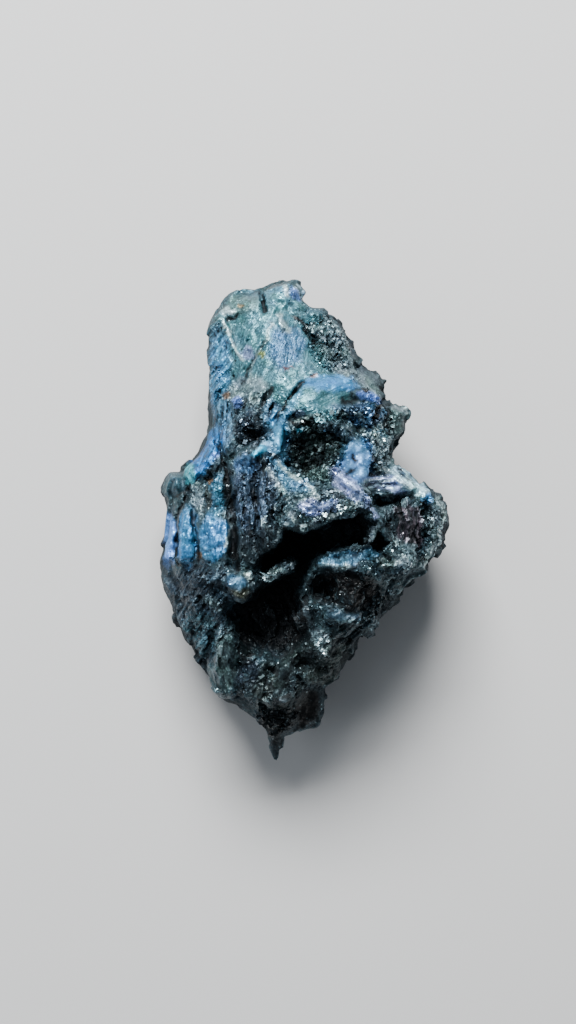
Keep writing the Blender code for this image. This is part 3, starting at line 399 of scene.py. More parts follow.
# Ground with a level of its own: the corners in plan, the level at their middle, the rise in X and Y,
# the width of the slope round it, and how far its middle swells
LEDGES = forms(Ledge, {
    "crown left facet": ([
        (-9.4, 25), (-8.9, 22.8), (-8.2, 20.8), (-7.2, 19.2), (-7.9, 16), (-8.6, 12.6), (-11, 12),
        (-12, 18), (-11.6, 23.5)], 12, (0.85, -0.1), 0.35, 0.3),
    "dark patch": ([
        (-0.8, 24.8), (0.2, 24), (0.4, 22.4), (1.4, 21.2), (1.9, 19.2), (4.2, 17.7), (6.2, 17.2),
        (5.7, 20.4), (4.7, 22.6), (3.4, 24.2), (1.4, 25)], 12.3, (-0.35, -0.42), 0.5, 0),
    "far rim": ([
        (6.5, 17.2), (7.6, 18), (9, 17.2), (9.6, 16), (10.4, 14.8), (9.2, 14.4),
        (7.8, 14.8)], 11.6, (-0.35, -0.3), 0.6, 0.4),
    "dome": ([
        (-2.3, 12.6), (-1.15, 14.5), (-0.3, 15.7), (0.9, 16.4), (2, 16.9), (3.6, 17.2), (5.6, 17),
        (6.5, 15.8), (7.8, 15.2), (9.2, 14.5), (8.8, 13.9), (6.6, 14.2), (5.2, 14.4), (4.2, 13.9),
        (3, 13.5), (2.6, 12.6), (1, 12.3), (0.1, 12.1), (-1, 12.6),
        (-1.8, 11.4)], 19.1, (-0.22, -0.62), 0.35, 0.9),
    "belt": ([
        (-2.5, 12.9), (-2.95, 11.7), (-3.4, 10.7), (-4.3, 9.6), (-5.8, 8.8), (-7.3, 8), (-7.6, 7.1),
        (-6.2, 6.9), (-4.8, 7.3), (-3.5, 7), (-2.6, 7.9), (-2.1, 9), (-2, 10.2), (-1.8, 11.3),
        (-1.4, 12.2)], 20.6, (0.3, -0.2), 0.22, 0.3),
    "arm crust": ([
        (9.6, 14.2), (11.1, 14.2), (12.4, 13.6), (12.8, 12.8), (12.2, 11.2), (11.8, 9.9), (10.4, 9.4),
        (9.8, 11)], 13, (-0.2, -0.05), 0.45, 1.2),
    "blue facet": ([
        (4.5, 8.3), (5.5, 9.4), (7.2, 9.2), (8.2, 8.6), (8.4, 7.4), (7.7, 6.2), (7.5, 4.9), (6.4, 4.3),
        (4.6, 5.6), (4.1, 7.2)], 21, (-0.2, -0.34), 0.3, 0),
    "lip": ([
        (-3.2, 3.4), (-2.6, 0.4), (-1.4, -0.4), (0.4, -0.3), (1.6, 0.1), (3.6, 0.6), (5.3, 1.1), (6.9, 2.2),
        (7.2, 3), (5.8, 3.6), (4.2, 4.6), (3, 4.4), (1.4, 3.4), (0, 3.6),
        (-1.8, 4)], 22.9, (-0.05, -0.34), 0.45, 0.3),
    "arm top": ([
        (7, 4.3), (7.9, 5), (10.2, 4.9), (10.7, 6), (11.6, 6.6), (13.9, 4.2), (15.2, 3.4), (14.2, 2.6),
        (12.6, 3.2), (11.6, 3.8), (9.8, 3.2), (8.4, 3)], 18.2, (-0.26, -0.66), 0.4, 0.2),
    "wedge top": ([
        (10.2, 6.2), (10.9, 6.9), (12, 6.3), (14, 4.3), (14.3, 3.4), (12.8, 3.6), (11.2, 4.6),
        (10.4, 5.2)], 18.4, (-0.22, -0.85), 0.3, 0),
    "lilac slab": ([
        (2.7, 5.6), (3.8, 6.3), (5.4, 5.5), (6.7, 4.3), (7.6, 3.2), (7.8, 2.2), (6.4, 1.9), (5, 2.7),
        (3.5, 4.1)], 22.4, (-0.12, -0.3), 0.3, 0),
    "arm shell": ([
        (9.4, 2), (10.8, 2.2), (12, 2.9), (13.4, 2.4), (14.2, 0.8), (14, -1.4), (13.4, -3.2), (12.6, -2.6),
        (11.8, -1.8), (10.6, -2.4), (9.8, -1.6), (9.3, 0.2)], 17.8, (-0.35, 0.05), 0.5, 1),
    "arm foot": ([
        (9.2, -5.6), (9.2, -4.5), (10.6, -3.2), (11.7, -1.9), (12.7, -3), (13.1, -4.6), (12.2, -5.9),
        (10.6, -6.2)], 18.4, (-0.3, -0.5), 0.5, 0.8),
    "gallery": ([
        (1.2, -4.8), (2.4, -4), (4, -3.7), (6, -3.1), (7.5, -2.9), (8.7, -3.8), (8.7, -4.8), (7.6, -5.4),
        (5.8, -5.6), (4, -5.4), (2.4, -5.1)], 19.8, (-0.1, -0.85), 0.4, 0.3),
    "step": ([
        (2.9, -10.6), (4.6, -10.2), (6.8, -10.4), (6.3, -11.6), (3.7, -11.7)], 19, (-0.12, -0.5), 0.22, 0),
    "crag": ([
        (1.2, -12), (2.4, -11.6), (3.6, -12.4), (3.6, -14), (3, -15.6), (2.4, -16.1), (1.6, -15.2),
        (1.2, -13.8)], 17.4, (-0.3, -0.1), 0.3, 0.6),
    "stub": ([
        (-8.9, -7), (-8.3, -6), (-7, -5.9), (-5.8, -6.4), (-6.2, -8.2), (-6.9, -9.1),
        (-7.9, -8.6)], 19.4, (-0.05, -0.12), 0.3, 0),
    "panel": ([
        (-12.6, 0.8), (-10.9, 1), (-9.2, 0.7), (-8.7, -0.4), (-8.6, -3.4), (-9.4, -4.6), (-11.6, -4.3),
        (-12.2, -2.6)], 17.4, (0.3, -0.1), 0.3, 0.2),
    "panel strip": ([
        (-13.6, 2.2), (-12.9, 1.6), (-12.4, -0.6), (-12.4, -4.4), (-14.5, -4.8),
        (-14.6, -1)], 15.6, (0.3, 0), 0.3, 0.3),
    "outer strip": ([
        (-15.6, 1.5), (-15.3, -0.8), (-15.4, -4.3), (-17.4, -4.6), (-17.2, -1),
        (-16.8, 1.4)], 12, (0.95, 0), 0.4, 0.3),
    "tongue": ([
        (-10.7, 11), (-10, 9.9), (-9.5, 8), (-9.6, 6.6), (-11.2, 5.2), (-12.8, 4.4), (-13, 6.4), (-12, 8.4),
        (-11.4, 10.2)], 14.6, (0.55, -0.3), 0.35, 0.5),
    "left knob": ([
        (-16.8, 4.4), (-16.2, 6.2), (-14.6, 6.5), (-13.6, 5.4), (-13.7, 3.6), (-15, 2.6),
        (-16.6, 2.6)], 11.6, (0.3, 0), 0.5, 2.2),
    "blade": ([
        (-9.5, -12.3), (-8.6, -13.4), (-7.6, -16), (-7.2, -19), (-8, -21.4), (-10, -21), (-10.6, -18.6),
        (-9.9, -15)], 14.2, (-0.35, 0.42), 0.35, 0.3),
    "keel slab": ([
        (-6.9, -16), (-5.4, -15.8), (-3.5, -16.4), (-3.7, -18.4), (-4.8, -20.6), (-6.5, -20.2),
        (-7.3, -18.2)], 14, (-0.15, 0.22), 0.28, 0.2),
    "keel": ([
        (-1, -15.6), (-0.6, -17), (-1.4, -20), (-3.8, -21.6), (-5.4, -21), (-3.6, -18.6),
        (-2.4, -16.4)], 14.6, (-0.15, 0.5), 0.5, 0.5),
    "heel top": ([
        (-0.8, -17.2), (1.6, -17), (4.4, -17.3), (4.3, -18.6), (2.8, -19.3),
        (0.4, -19)], 13.8, (-0.45, -0.25), 0.4, 0.2),
})

# Hollows: the corners in plan, the level of the floor, its rise in X and Y, and the width of the walls
HOLLOWS = forms(Hollow, {
    "cleft": ([
        (-7.9, 11.2), (-6.4, 11.1), (-4.8, 11.3), (-3.5, 11), (-3.6, 10.4), (-4.5, 9.5), (-5.9, 8.8),
        (-7.2, 8.1), (-7.3, 9.4)], 15.4, (0.15, 0.3), 0.4),
    "cleft slot": ([
        (-4.2, 15), (-3.8, 15.4), (-3.9, 14.4), (-4.4, 12.9), (-4.8, 11.4), (-5.1, 12.6),
        (-4.8, 14)], 16, (0, 0.2), 0.2),
    "cleft splinter": ([(-3.9, 14), (-2.8, 13.9), (-3.5, 12.4), (-4.3, 11.6)], 16.4, (0, 0.2), 0.25),
    "cleft crumble": ([(-7.9, 13.6), (-6.4, 13.4), (-6.2, 12.2), (-7.6, 12)], 13.8, (0, 0.2), 0.3),
    "bowl": ([
        (-1.9, 10.9), (-1.1, 11.7), (0.8, 11.6), (2.2, 11.2), (3.6, 11.6), (5.2, 11), (5.2, 9.6),
        (3.8, 8.2), (2.7, 6.1), (1.2, 4.5), (-0.4, 4.9), (-1.7, 6), (-2.4, 7.4),
        (-1.9, 8.9)], 18.4, (-0.1, 0.22), 0.8),
    "broken band": ([
        (2.6, 12.1), (3.8, 12.8), (6, 13.2), (8.2, 13), (9.2, 11.4), (7.8, 10.4), (5.8, 10), (5.4, 11.4),
        (3.6, 11.7)], 17.6, (-0.4, 0.1), 0.4),
    "side pits": ([(7.9, 13.4), (8.8, 13.2), (8.9, 11.8), (8, 11.6)], 13.6, (0, 0), 0.4),
    "great cave": ([
        (-5.2, -4.6), (-4.4, -3.2), (-3.6, -3.5), (-3, -2.8), (-2.2, -1), (-1.5, 0), (-1, -0.6),
        (0.2, -1.2), (1.2, -0.3), (3.2, 0.2), (4.2, 0.8), (5.6, 0.9), (6.8, 1.6), (7.6, 0.4), (8.6, 0.5),
        (9.2, -0.4), (9.6, -1.9), (10.2, -2.6), (9.2, -3.6), (8.6, -3.8), (7.5, -2.8), (6.2, -2.8),
        (4, -3.4), (2, -4), (1.2, -4.8), (0.8, -6.6), (-1.6, -7.2), (-4.4, -7.6),
        (-5.6, -6.4)], 11.6, (0.1, 0.05), 0.4),
    "arm cave": ([
        (7.4, 3.6), (9.2, 3), (10.6, 3.2), (12.2, 3.4), (12, 2.6), (10.9, 1.9), (9.6, 1.5), (8.8, 0.6),
        (8.2, 1.4)], 14.6, (0, 0), 0.6),
    "great hollow": ([
        (-9.4, -9.8), (-7.8, -9.2), (-6, -8.8), (-5.2, -6.6), (-2.8, -6.4), (-0.8, -5.8), (0.6, -6.4),
        (0.3, -7.8), (-0.5, -8.8), (0.1, -9.8), (-0.5, -11), (0.5, -12), (0.9, -13.2), (0.1, -14.4),
        (-1, -15.8), (-2.6, -16.6), (-5.2, -15.4), (-7.2, -14.6), (-8.2, -13),
        (-9, -11.4)], 11.6, (-0.1, -0.05), 0.6),
    "under gallery": ([
        (1.6, -9.6), (1.4, -7), (1.8, -5.9), (3.8, -6), (4.4, -7.4), (4, -9.4),
        (2.8, -10)], 15.6, (0, 0), 0.5),
    "under nodules": ([
        (6.8, -7.8), (8.6, -7.6), (9, -8.8), (7.8, -10), (6, -9.9), (6, -9.2)], 14, (0, 0), 0.5),
    "under step": ([(3.6, -11.9), (6.4, -11.8), (6.6, -12.5), (3.9, -12.6)], 15, (-0.2, 0), 0.3),
    "under crag": ([
        (0.9, -15.6), (2.2, -16.5), (3.6, -16), (4.4, -16.4), (3.8, -17.1),
        (1.2, -17)], 12.2, (-0.1, 0), 0.4),
    "heel": ([
        (-0.2, -20), (0.8, -19.6), (2.8, -19.9), (2.6, -22.6), (2.2, -24.6), (-0.6, -24.8),
        (-1.2, -22.6)], 8.6, (-0.15, 0.25), 0.6),
})

# Narrow clefts and thin ridges: the line in plan, the half width, and the lift (a cleft's is negative)
SEAMS = forms(Seam, {
    "crown seam": ([(-9.3, 24.6), (-8.8, 22.7), (-8.2, 20.9), (-7.1, 19.3)], 0.35, 0.5),
    "crown notch": ([(-4.9, 28.2), (-4.7, 26.8), (-4.5, 25.8), (-4.3, 24.4)], 0.3, -1.8),
    "crown crack": ([(-4.2, 21.4), (-5, 19.9), (-5.9, 18.2), (-6.8, 16.4)], 0.22, -0.6),
    "crown fold": ([(-2.5, 24.2), (-2.4, 23.2), (-2, 22.2)], 0.45, 0.4),
    "dome cleft": ([
        (1, 16.6), (-0.4, 15.8), (-0.95, 14.9), (-1.75, 13.8), (-2.4, 12.8), (-2.95, 11.7),
        (-3.6, 10.9)], 0.26, -1.7),
    "ring": ([
        (-3.2, 8.4), (-3.3, 7), (-2.6, 5.5), (-1.4, 4.4), (0.4, 3.6), (1.6, 3.2), (2.4, 2.6)], 0.85, 1.3),
    "ring arm": ([(-3.4, 9), (-4.8, 8.5), (-6.4, 7.9), (-7.6, 7.4)], 0.5, 0.3),
    "lilac ridge": ([(3.3, 6), (4.4, 5.1), (5.6, 4.1), (6.9, 3), (7.6, 1.8), (8.4, 0.7)], 0.6, 1.1),
    "pillar": ([(8.5, 0), (8, -0.9), (7.7, -1.7), (7.6, -2.5)], 0.5, 7.4),
    "column 1": ([(-7.1, 6.9), (-7.4, 4), (-7.1, 1), (-6.9, -1.6), (-6.7, -4.4)], 0.55, 1.3),
    "column 2": ([(-5.9, 7), (-6.3, 4.6), (-6, 1.4), (-5.9, -0.6)], 0.5, 1),
    "column 3": ([(-4.6, 5.4), (-4.7, 2.6), (-4.4, 0.6), (-4, -3.2)], 0.55, 1.4),
    "column 4": ([(-3.2, 4.2), (-3.3, 2.4), (-3, 0.6), (-2.8, -2.8)], 0.5, 1.3),
    "column slot": ([(-5.5, 4.8), (-5.4, 3), (-5.4, 1.4)], 0.42, -2.2),
    "column slot 2": ([(-6.7, 5.6), (-6.8, 2.6), (-6.6, -1), (-6.4, -4.4)], 0.28, -1),
    "column slot 3": ([(-4, 4), (-3.8, 1.4), (-3.4, -1.8)], 0.32, -1.2),
    "column slot 4": ([(-5.2, 1), (-5.2, -1.2), (-5, -4.2)], 0.36, -1.5),
    "torso shade": ([(-2.2, 3.4), (-2, 1.8), (-2.4, 0.2)], 0.7, -1.8),
    "panel slot": ([(-8.7, 7), (-8.8, 5), (-8.5, 2.8), (-8.2, 0.4)], 0.6, -2.6),
    "panel slot foot": ([(-8.1, 1), (-8, -1.8), (-7.8, -5.8)], 0.6, -2.8),
    "tongue cleft": ([(-10.5, 10.6), (-9.6, 8.6), (-9.2, 7.2), (-9, 5.4)], 0.36, -1.6),
    "strip slot": ([(-12.8, 4.8), (-13.7, 2.2), (-14.6, 0.4), (-14.8, -2.2), (-14.7, -5.4)], 0.36, -1.7),
    "inner slot": ([(-12.9, 4.8), (-12.8, 1.6), (-12.5, 0), (-12.2, -1.8), (-12.1, -5)], 0.32, -1),
    "olive slot": ([(-11.2, 5.4), (-11.1, 3), (-10.8, 0.8)], 0.34, -1),
    "tongue step": ([(-11.4, 5), (-10.2, 5.4), (-9.2, 6.2)], 0.35, -1),
    "granular ridge": ([(-5, -7.4), (-3.8, -6), (-2.6, -5.6), (-1.4, -5.1), (-0.5, -4)], 0.95, 7.9),
    "flank crag": ([(-10.6, -8.6), (-10, -9.6), (-9.4, -10.6)], 0.5, 0.9),
    "blade crest": ([(-9.5, -11.9), (-9.8, -14.5), (-10.3, -16.8), (-11, -18.8)], 0.45, 0.8),
    "blade cleft": ([(-10.4, -11.8), (-10.9, -15), (-11.7, -17.6)], 0.7, -1.8),
    "shell groove 1": ([(10.9, 2.2), (11.3, 0.4), (11.2, -1.8)], 0.45, -1.3),
    "shell groove 2": ([(12.4, 2.8), (12.9, 0.4), (12.9, -2.6)], 0.45, -1.5),
    "shell groove 3": ([(13.7, 2.8), (14.3, 0), (14, -4)], 0.45, -1.4),
    "lilac fold": ([(7.6, 3.7), (9.4, 4), (11.4, 4.4)], 0.4, -0.8),
    "gallery cleft": ([(9, -3.9), (8.9, -5.4), (9.2, -6.6)], 0.35, -1.6),
})

# Angular nodules
NODULES = forms(Nodule, {
    "crown left lobe": (-7, 25.6, 2.4, 1.8, 0, 0.7),
    "crown right lobe": (-1.6, 26.8, 2.2, 1.5, -10, 0.8),
    "crown beak": (-0.9, 27.2, 0.9, 0.8, 0, 0.5),
    "lobe grain": (-8.6, 24.9, 0.9, 0.6, -30, 0.7),
    "patch lump 1": (1.4, 22.8, 0.8, 0.6, 40, 0.8),
    "patch lump 2": (3.2, 22.4, 0.9, 0.7, 20, 0.8),
    "patch lump 3": (3.2, 20.2, 1.2, 0.9, -40, 0.7),
    "bead": (-7.5, 14.2, 0.75, 0.75, 0, 0.6),
    "neck lump": (-6.6, 12.4, 1, 0.7, 60, 0.7),
    "cleft lump": (-5.4, 10.9, 0.9, 0.45, 10, 1.8),
    "neck rib": (-8.3, 9.2, 0.8, 1.5, -35, 0.7),
    "side lump 1": (7, 11.6, 0.9, 0.8, 0, 1),
    "side lump 2": (7.2, 12.9, 0.8, 0.7, 0, 0.9),
    "side lump 3": (9, 10.2, 0.9, 0.8, 0, 1),
    "side lump 4": (9.3, 8.4, 0.9, 0.9, 0, 0.9),
    "side lump 5": (9, 6.6, 0.9, 0.8, 0, 0.9),
    "bowl lump 1": (-0.6, 10.4, 1.2, 0.9, 10, 2.4),
    "bowl lump 2": (2.8, 10.9, 1.7, 0.9, 0, 2.4),
    "bowl lump 3": (1.9, 5.7, 1.4, 1, 15, 1),
    "bowl lump 4": (4, 8, 1.2, 1.1, 0, 0.5),
    "bowl lump 5": (0.3, 7.8, 1.3, 1, 30, 1),
    "bowl lump 6": (4.7, 10.1, 1.1, 0.9, 30, 1.6),
    "lip bead 1": (0.9, 1.7, 0.8, 0.7, 0, 0.6),
    "lip bead 2": (2.3, 1.9, 0.7, 0.7, 0, 0.6),
    "lip drip 1": (0.2, -0.9, 0.6, 0.6, -30, 2.4),
    "lip drip 2": (-2, -0.2, 0.5, 0.9, 20, 1),
    "cave lump": (5.9, -0.6, 0.8, 0.7, 0, 1.6),
    "arm bead": (14.4, 2.6, 0.7, 0.6, 0, 0.7),
    "arm lump 1": (15.8, 1.8, 0.9, 0.8, 0, 0.7),
    "arm lump 2": (15.4, -1.4, 1, 0.8, 40, 0.7),
    "arm lump 3": (14.8, -3.6, 0.9, 0.9, 0, 0.8),
    "arm lump 4": (13.6, -5.4, 0.9, 0.6, 10, 0.8),
    "teal lobe": (-13.1, 5.7, 0.75, 1.2, 10, 1),
    "gallery nodule 1": (7.4, -5.8, 0.95, 0.8, 0, 2.2),
    "gallery nodule 2": (5.4, -7.8, 1.4, 1.2, 20, 1.6),
    "gallery nodule 3": (8.3, -6.6, 1, 0.8, 30, 1.6),
    "hollow nodule 1": (0.6, -6.4, 0.8, 1, 0, 1.8),
    "hollow nodule 2": (0.5, -10.2, 0.8, 1.4, -10, 1.8),
    "hollow nodule 3": (-5.6, -9.2, 1, 0.7, 20, 1.2),
    "lower lump 1": (8, -11.4, 1.2, 0.8, -30, 0.8),
    "lower lump 2": (9.8, -8.2, 0.8, 1.1, -20, 0.8),
    "keel lump 1": (-5, -17.2, 1.5, 0.9, 50, 0.9),
    "keel lump 2": (-6.3, -19.4, 1, 0.8, 0, 0.8),
    "keel lump 3": (-2.4, -21, 0.7, 0.6, 0, 0.8),
    "flank knot": (-10.2, -6.6, 1.1, 0.7, 20, 0.7),
    "flank lump": (-14.9, -4.9, 0.6, 0.6, 0, 0.8),
})

# Cracks and fine clefts, as seams
CRACKS = forms(Seam, {
    "crown edge line": ([(-9.2, 23.3), (-8.6, 22.3), (-8.3, 21.2), (-7.7, 19.9), (-7, 19.1)], 0.22, 0.3),
    "crown slit": ([(-4.7, 26.8), (-4.5, 25.8), (-4.3, 24.8)], 0.26, -1),
    "lobe edge": ([(-9, 24.2), (-8.2, 24), (-7.5, 24.3)], 0.25, -0.8),
    "crown flake": ([(-2.7, 24.2), (-2.4, 23.2), (-2.1, 22.4)], 0.25, 0.35),
    "crown crack": ([(-5.8, 19.6), (-6.3, 18.4), (-6.9, 16.8), (-7.2, 15.6)], 0.22, -0.7),
    "crown crack 2": ([(-2.8, 19.8), (-3.4, 18.4), (-4.4, 16.9)], 0.18, -0.4),
    "crown crack 3": ([(-4.8, 23.6), (-5.4, 22), (-5.6, 20.6)], 0.18, -0.4),
    "patch edge": ([(-0.2, 23.9), (0.6, 22.5), (1.2, 21.5), (1.8, 19.8)], 0.4, -1.2),
    "dome groove": ([(-0.4, 15.8), (-0.95, 14.9), (-1.75, 13.8), (-2.4, 12.8), (-3.1, 11.4)], 0.18, -1),
    "dome edge": ([(5, 16.9), (3.2, 17), (1.6, 16.5), (0.4, 15.9)], 0.22, -0.6),
    "knob cleft": ([(9.7, 13.6), (9.8, 12.2), (9.7, 10.6)], 0.4, -1.8),
    "neck crack": ([(-9.9, 10.2), (-9.5, 8.6), (-9.1, 7.4), (-8.8, 5.4)], 0.28, -1.4),
    "neck crack 2": ([(-8.6, 13.8), (-8.4, 12.2), (-8.6, 10.6)], 0.22, -0.8),
    "neck slot": ([(-3.7, 15.3), (-4.6, 14.2), (-4.8, 12.6)], 0.35, -1.6),
    "neck slot 2": ([(-6.9, 15), (-6.4, 13.6), (-6.6, 12.2)], 0.28, -1.2),
    "column edge": ([(-7.7, 6.2), (-7.8, 3.4), (-7.5, 0.6), (-7.4, -2.6)], 0.22, -0.9),
    "column edge 2": ([(-6.2, 6.6), (-6.6, 4.4), (-6.4, 2), (-6.3, -0.6)], 0.2, -0.8),
    "column edge 3": ([(-4.9, 5.6), (-5, 3), (-4.8, 0.6), (-4.6, -1.6)], 0.2, -0.8),
    "torso crack": ([(-4.2, 0.2), (-3.2, 1.6), (-2.4, 3.2)], 0.2, -0.7),
    "torso crack 2": ([(-3.6, -0.6), (-2.8, 0.8), (-1.8, 2.2)], 0.2, -0.7),
    "panel crack": ([(-11.5, -2.7), (-10.4, -3), (-9, -2.6)], 0.16, -0.35),
    "panel crack 2": ([(-11.6, -1.3), (-10.2, -1.5), (-8.9, -1.2)], 0.14, -0.25),
    "strip channel": ([(-13.3, 3.4), (-14, 1.6), (-14.7, -0.2), (-14.8, -4.4)], 0.26, -0.9),
    "inner channel": ([(-12.8, 0.9), (-12.5, -0.9), (-12.2, -2.4), (-12.1, -4.2)], 0.26, -1),
    "shell groove": ([(10.2, 1.9), (10.5, 0.2), (10.4, -1.6)], 0.22, -0.7),
    "shell groove 2": ([(11.7, 2.5), (12.1, 0.6), (12, -1.8)], 0.22, -0.7),
    "shell groove 3": ([(13.1, 2.7), (13.5, 0.6), (13.4, -2.4)], 0.22, -0.7),
    "ledge fold": ([(7.2, 4.3), (8.4, 4.5), (9.6, 4.4), (11, 4.2)], 0.17, -0.5),
    "ledge fold 2": ([(7.5, 3.8), (8.6, 4), (10.2, 3.7)], 0.17, -0.5),
    "ledge fold 3": ([(11, 5.8), (12, 5.1), (13.3, 4.1)], 0.17, -0.4),
    "lip fold": ([(1.2, 3.2), (2, 2), (1.6, 0.8)], 0.25, -0.8),
    "lip fold 2": ([(4, 3.6), (4.4, 2.2), (3.8, 1.2)], 0.25, -0.8),
    "flank crack": ([(-12.9, -7.2), (-11.4, -9.4), (-10.6, -11.2)], 0.2, -0.5),
    "flank crack 2": ([(-14.6, -9), (-12.8, -11.6), (-11.8, -14)], 0.2, -0.4),
    "blade edge": ([(-9.6, -12.5), (-9.9, -15), (-10.6, -17.6)], 0.2, 0.3),
    "wedge crack": ([(-7.4, -16.2), (-6.6, -18.4), (-6.8, -20.6)], 0.25, -0.9),
    "wall line": ([(5.4, -12.6), (6.6, -13), (8.4, -11.6)], 0.25, -0.6),
    "wall line 2": ([(4.4, -14.6), (5.6, -14), (7.4, -12.6)], 0.25, -0.6),
    "wedge crack 2": ([(-4.6, -16.6), (-3.8, -18.8), (-3.4, -21.4)], 0.25, -0.9),
    "wedge crack 3": ([(-1, -16.2), (-1.8, -18.6), (-1.6, -21)], 0.25, -0.8),
    "crag edge": ([(2.4, -12), (2.2, -13.6), (2, -15.4)], 0.22, 0.5),
})

# Sugary ore, broken into small blocks
SUGARY = [Zone(*row) for row in (
    (4.6, 12.2, 4.6, 1.2, 8, 0.7), (3, 21, 3, 4.4, 25, 1), (1.4, 8.2, 4.2, 4, 0, 0.9),
    (8.8, 9.8, 2.4, 5, 0, 0.8), (3.6, 1.8, 5.6, 1.9, 12, 0.6), (15.4, -0.8, 2.4, 5.2, 0, 0.7),
    (11.2, -4.4, 2.2, 1.9, 0, 0.5), (7.6, -5, 1.6, 1.4, 0, 0.5), (2.2, -14.4, 1.2, 2, 0, 0.45),
    (-3, -5.2, 3.2, 1.6, 20, 0.6), (-6, 10.6, 2.4, 2.2, 0, 0.5), (9, -10.6, 1.8, 4.2, -40, 0.5),
    (-9.4, -20.4, 1.6, 1.4, 0, 0.4), (-3.2, -23.4, 3.2, 2.2, 0, 0.4), (-10.2, -8.8, 1.2, 1.4, 0, 0.6),
)]

# Columnar ore, split into upright staves
COLUMNAR = [Zone(*row) for row in (
    (-5.4, 2, 3.8, 7, 0, 0.7), (-12.4, 0.4, 5.2, 6, 0, 0.2), (12, -0.4, 3.2, 4, -15, 0.7),
    (-8.8, -15.6, 2.2, 4.6, -10, 0.6),
)]

# Ground that is smoother than the rest
SMOOTH = [Zone(*row) for row in (
    (-5.2, 21.6, 5.6, 7.4, 0, 0.85), (-1.2, 19.6, 3.2, 4, 0, 0.85), (2.6, 15, 5.6, 2.3, -6, 0.9),
    (-9.6, 10.6, 1.8, 4.6, 0, 0.6), (-11.4, 8.4, 1.8, 3.8, -30, 0.75), (-11.8, -1.6, 5.6, 3.6, 0, 0.75),
    (-15.2, 4.4, 1.8, 2.2, 0, 0.75), (-12.6, -10.6, 5.2, 7.6, -20, 0.28), (-7.6, -7, 1.5, 1.2, 0, 0.8),
    (-8.8, -16.8, 1.8, 4.6, 0, 0.4), (10.2, 4.3, 4.2, 1.5, 0, 0.9), (4.4, -4.4, 3.2, 1, 8, 0.8),
    (4.8, -10.9, 2, 0.9, 0, 0.8), (0.8, -22.2, 2, 2.6, 0, 0.8), (-2.2, -17.4, 1.2, 3.6, -22, 0.8),
    (6.3, 7, 2.3, 2.8, 10, 0.9), (5.3, 4.1, 2.7, 1, -44, 0.85), (1.7, 1.7, 2.3, 0.9, 4, 0.6),
    (12.2, 5.2, 2.4, 1.2, -42, 0.9), (12.3, -0.4, 1.9, 2.5, 0, 0.65), (-2.7, 10.6, 0.9, 2.8, 12, 0.85),
    (-5.2, 8.1, 2.4, 0.9, 30, 0.8), (-6.4, 6.6, 1.4, 1.1, 0, 0.7),
)]

# Single flat faces, whose colour and shine are the most even
CALM = [Zone(*row) for row in (
    (-16, -2.2, 1.4, 3.4, 0, 0.8), (-7.6, -7, 1.5, 1.2, 0, 1), (4.8, -10.9, 2.2, 0.9, 0, 1),
    (6.3, 7, 2.3, 2.8, 10, 0.8), (12.2, 5.2, 2.4, 1.2, -42, 0.8), (-5.2, 8.1, 2.4, 0.9, 30, 0.8),
    (-2.9, 10.2, 1.2, 3.6, 10, 0.6), (3.2, 16.1, 3.4, 1.1, -6, 0.7), (-10.3, -1.8, 1.8, 2.9, 0, 0.5),
    (-13.4, -1.8, 1.3, 3.8, 0, 0.5), (-11.2, 8.2, 1.6, 3.4, -30, 0.5), (1.5, 1.7, 2, 0.8, 4, 0.6),
    (4.4, -4.4, 3, 0.9, 8, 0.6), (-8.9, -16.4, 1.3, 3.6, 0, 0.6), (-4.4, -18.6, 1.5, 2.6, -20, 0.7),
    (12.3, -0.4, 1.9, 2.5, 0, 0.7),
)]

# Ground that is broken into large, flat facets
CRAGGY = [Zone(*row) for row in (
    (5.6, -8.4, 4.2, 2.2, -10, 1), (-3.4, -11, 6, 5.4, 0, 1), (3.4, -8.4, 3.6, 3.2, 0, 0.8),
    (-4.6, -19, 4.6, 4.2, 0, 0.9), (3, -14.4, 3.6, 3.6, 0, 0.6), (1.2, 8.2, 4.4, 3.8, 0, 0.5),
    (3, -1.6, 6, 2, 12, 0.7), (-5.8, 10.8, 2.8, 3.4, 0, 0.5), (9, 9, 2.8, 4.8, 0, 0.5),
    (15.2, -1.2, 2.4, 5, 0, 0.6),
)]

# Ground with growth lines
STRIATED = forms(Striae, {
    "crown strip": (-10, 18.6, 2.6, 7, 0, 52, 0.8),
    "crown middle": (-4.6, 20.6, 4.6, 6.8, 0, 68, 0.35),
    "crown right": (-0.6, 20, 2.6, 4.4, 0, 75, 0.35),
    "dome": (3, 14.8, 5.2, 2.4, 0, 24, 0.2),
    "neck": (-9.2, 11.4, 2, 5, 0, 86, 0.9),
    "neck middle": (-6.6, 13.4, 2, 3.4, 0, 62, 0.7),
    "tongue": (-11, 7.6, 2.2, 4.2, -30, 66, 0.8),
    "panel": (-11.4, -0.6, 4.8, 6.4, 0, 85, 0.35),
    "columns": (-5.2, 2.2, 3.4, 7, 0, 88, 0.9),
    "torso": (-2.8, 2, 1.8, 2.8, 0, 50, 0.9),
    "flank": (-12.6, -11.2, 5.4, 8.6, -20, 54, 1),
    "blade": (-9, -16.8, 2, 5.2, 0, 102, 0.7),
    "wedge": (-4.4, -19.4, 4.2, 3.8, 0, 62, 0.5),
    "arm top": (8.9, 4.2, 2.4, 1.2, 0, 4, 0.8),
    "wedge face": (12, 5.3, 2.2, 1.2, -42, -42, 0.8),
    "arm shell": (11.6, -0.2, 3, 3.6, 0, 84, 0.9),
    "gallery": (4.6, -4.4, 4, 1.2, 0, 80, 0.5),
    "lower right": (6.6, -12.6, 2.6, 4.6, -45, 42, 0.6),
    "belly": (-3.6, -11.4, 4.4, 4.4, 0, 98, 0.4),
})

